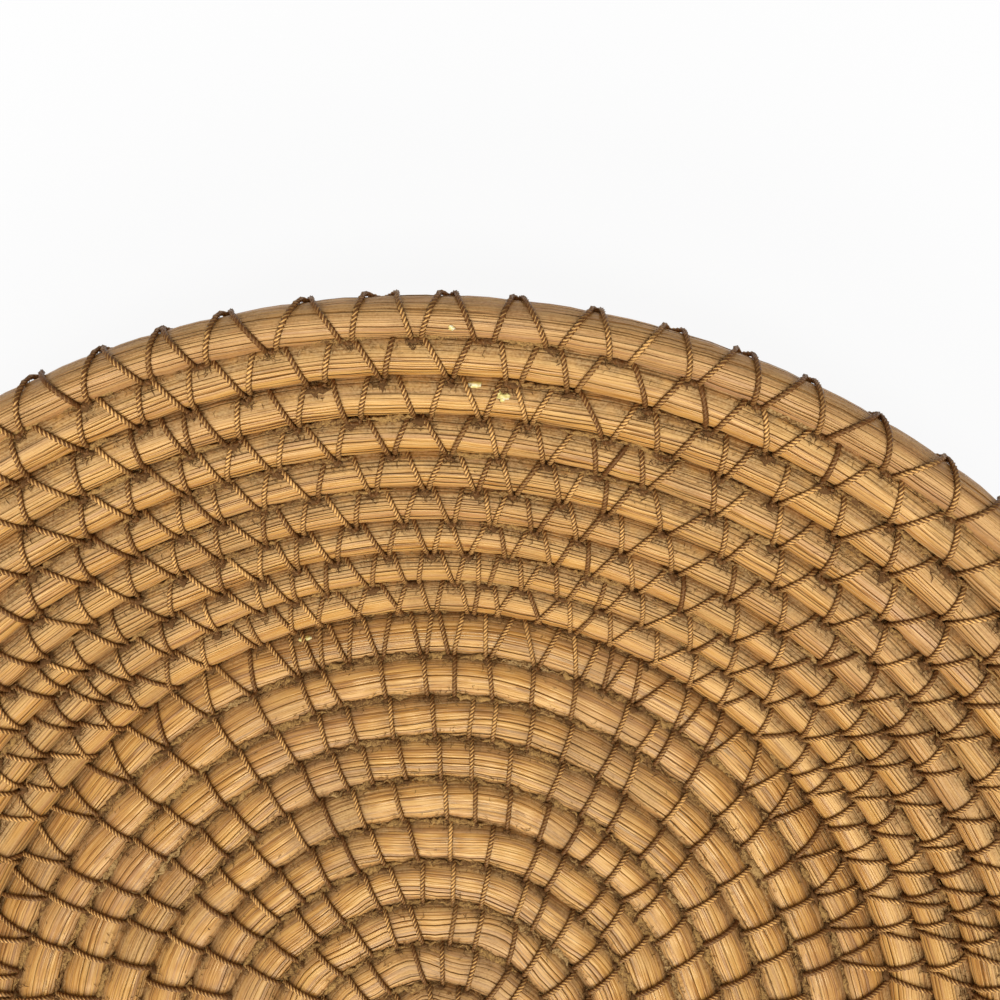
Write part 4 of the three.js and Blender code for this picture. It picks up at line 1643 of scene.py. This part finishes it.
class BASKET_OT_lint(bpy.types.Operator):
    """Lay lint and dust in the grooves and round the stitch holes, and a few flecks of wax"""

    bl_idname = "basket.lint"
    bl_label = "Lint"

    def execute(self, context):
        scene = context.scene
        sizes = scene.basket_lint
        coil, sewing = coil_and_sewing(scene)
        material = lint_material("lint", scene.basket_finishes)
        rng = np.random.default_rng(SEED + 5)
        base_rows = base_row_count(coil)

        base = Strands()
        add_beds(base, coil, rng, FIRST_BED, coil.sizes.wall_turn, sizes.base_fill, BASE_BED)
        for row in range(1, base_rows):
            first, last = row_bounds(coil, row)
            count = round(0.5 * sizes.base_crumbs * coil.row_length(first))
            for angles in BASE_CRUMBS:
                scatter_crumbs(base, coil, rng, first, last, count, angles)
        settle(base.build("base_lint", material))

        wall = Strands()
        last_groove = coil.sizes.end_turn - 1.0
        add_beds(wall, coil, rng, coil.sizes.wall_turn, last_groove, sizes.wall_fill, WALL_BED)
        for row in range(base_rows, base_rows + wall_row_count(coil) - 1):
            first, last = row_bounds(coil, row)
            count = round(sizes.wall_crumbs * coil.row_length(first))
            scatter_crumbs(wall, coil, rng, first, last, count, WALL_CRUMBS)
        add_wisp(wall, coil, rng)
        settle(wall.build("wall_lint", material))

        round_holes = Strands()
        no_spreads = np.zeros(len(sewing.straight_holes))
        add_clumps(round_holes, coil, rng, sewing.v_holes, sewing.v_spreads, V_CLUMP)
        add_clumps(round_holes, coil, rng, sewing.straight_holes, no_spreads, STRAIGHT_CLUMP)
        hole_fibres(round_holes, coil, rng, sewing.straight_holes, sizes.hole_fibres // 2)
        hole_fibres(round_holes, coil, rng, sewing.v_holes, sizes.hole_fibres)
        settle(round_holes.build("hole_lint", material))

        flecks = Strands()
        for turn, around, length, width in FLECKS:
            add_fleck(flecks, coil, rng, turn, math.radians(around), length * MM, width * MM)
        settle(flecks.build("wax_flecks", wax_material("dry_wax", scene.basket_finishes)))
        return {"FINISHED"}


def add_lamp(scene, name, lamp_sizes, power):
    """Adds a soft lamp that points at the basket."""
    place, width, depth = lamp_sizes
    lamp = bpy.data.lights.new(name, "AREA")
    lamp.energy = power
    lamp.shape = "RECTANGLE"
    lamp.size = width
    lamp.size_y = depth
    holder = bpy.data.objects.new(name, lamp)
    holder.location = place
    aim = Vector(LAMP_AIM) - holder.location
    holder.rotation_euler = aim.to_track_quat("-Z", "Y").to_euler()
    scene.collection.objects.link(holder)


class BASKET_OT_stage(bpy.types.Operator):
    """Set the floor, the light and the camera"""

    bl_idname = "basket.stage"
    bl_label = "Stage"

    def execute(self, context):
        scene = context.scene
        sizes = scene.basket_stage
        scene.view_settings.view_transform = "Standard"
        world = bpy.data.worlds.new("even_light")
        world.use_nodes = True
        background = world.node_tree.nodes["Background"]
        background.inputs["Color"].default_value = WHITE
        background.inputs["Strength"].default_value = sizes.sky
        scene.world = world

        mesh = bpy.data.meshes.new("floor")
        corners = [(across * FLOOR_HALF, deep * FLOOR_HALF, 0.0) for across, deep in FLOOR_CORNERS]
        mesh.from_pydata(corners, [], [(0, 1, 2, 3)])
        mesh.materials.append(floor_material(sizes))
        floor = bpy.data.objects.new("floor", mesh)
        scene.collection.objects.link(floor)

        add_lamp(scene, "overhead_lamp", OVERHEAD_LAMP, sizes.overhead_power)
        add_lamp(scene, "front_lamp", FRONT_LAMP, sizes.front_power)
        camera = bpy.data.cameras.new("camera")
        camera.sensor_width = SENSOR_WIDTH
        camera.lens = sizes.lens
        camera.clip_start = CLIP_START
        holder = bpy.data.objects.new("camera", camera)
        holder.location = sizes.camera_place
        scene.collection.objects.link(holder)
        scene.camera = holder
        return {"FINISHED"}


class BASKET_PT_build(bpy.types.Panel):
    """Lists the steps that build the basket"""

    bl_label = "Pine needle basket"
    bl_idname = "BASKET_PT_build"
    bl_space_type = "VIEW_3D"
    bl_region_type = "UI"
    bl_category = "Basket"

    def draw(self, context):
        for step in STEPS:
            self.layout.operator(step.bl_idname)


SETTINGS = {
    "basket_coil": CoilSizes,
    "basket_needles": NeedleSizes,
    "basket_sewing": SewingSizes,
    "basket_lint": LintSizes,
    "basket_finishes": Finishes,
    "basket_stage": StageSizes,
}
STEPS = (
    BASKET_OT_base_needles,
    BASKET_OT_wall_needles,
    BASKET_OT_straight_stitches,
    BASKET_OT_v_stitches,
    BASKET_OT_lint,
    BASKET_OT_stage,
)


def register():
    """Registers the settings, the steps and the panel."""
    for name, group in SETTINGS.items():
        bpy.utils.register_class(group)
        setattr(bpy.types.Scene, name, PointerProperty(type=group))
    for step in STEPS:
        bpy.utils.register_class(step)
    bpy.utils.register_class(BASKET_PT_build)


def unregister():
    """Takes it all out again."""
    bpy.utils.unregister_class(BASKET_PT_build)
    for step in reversed(STEPS):
        bpy.utils.unregister_class(step)
    for name, group in SETTINGS.items():
        delattr(bpy.types.Scene, name)
        bpy.utils.unregister_class(group)


def main():
    """Builds the basket and its stage."""
    register()
    bpy.ops.basket.base_needles()
    bpy.ops.basket.wall_needles()
    bpy.ops.basket.straight_stitches()
    bpy.ops.basket.v_stitches()
    bpy.ops.basket.lint()
    bpy.ops.basket.stage()


if __name__ == "__main__":
    main()
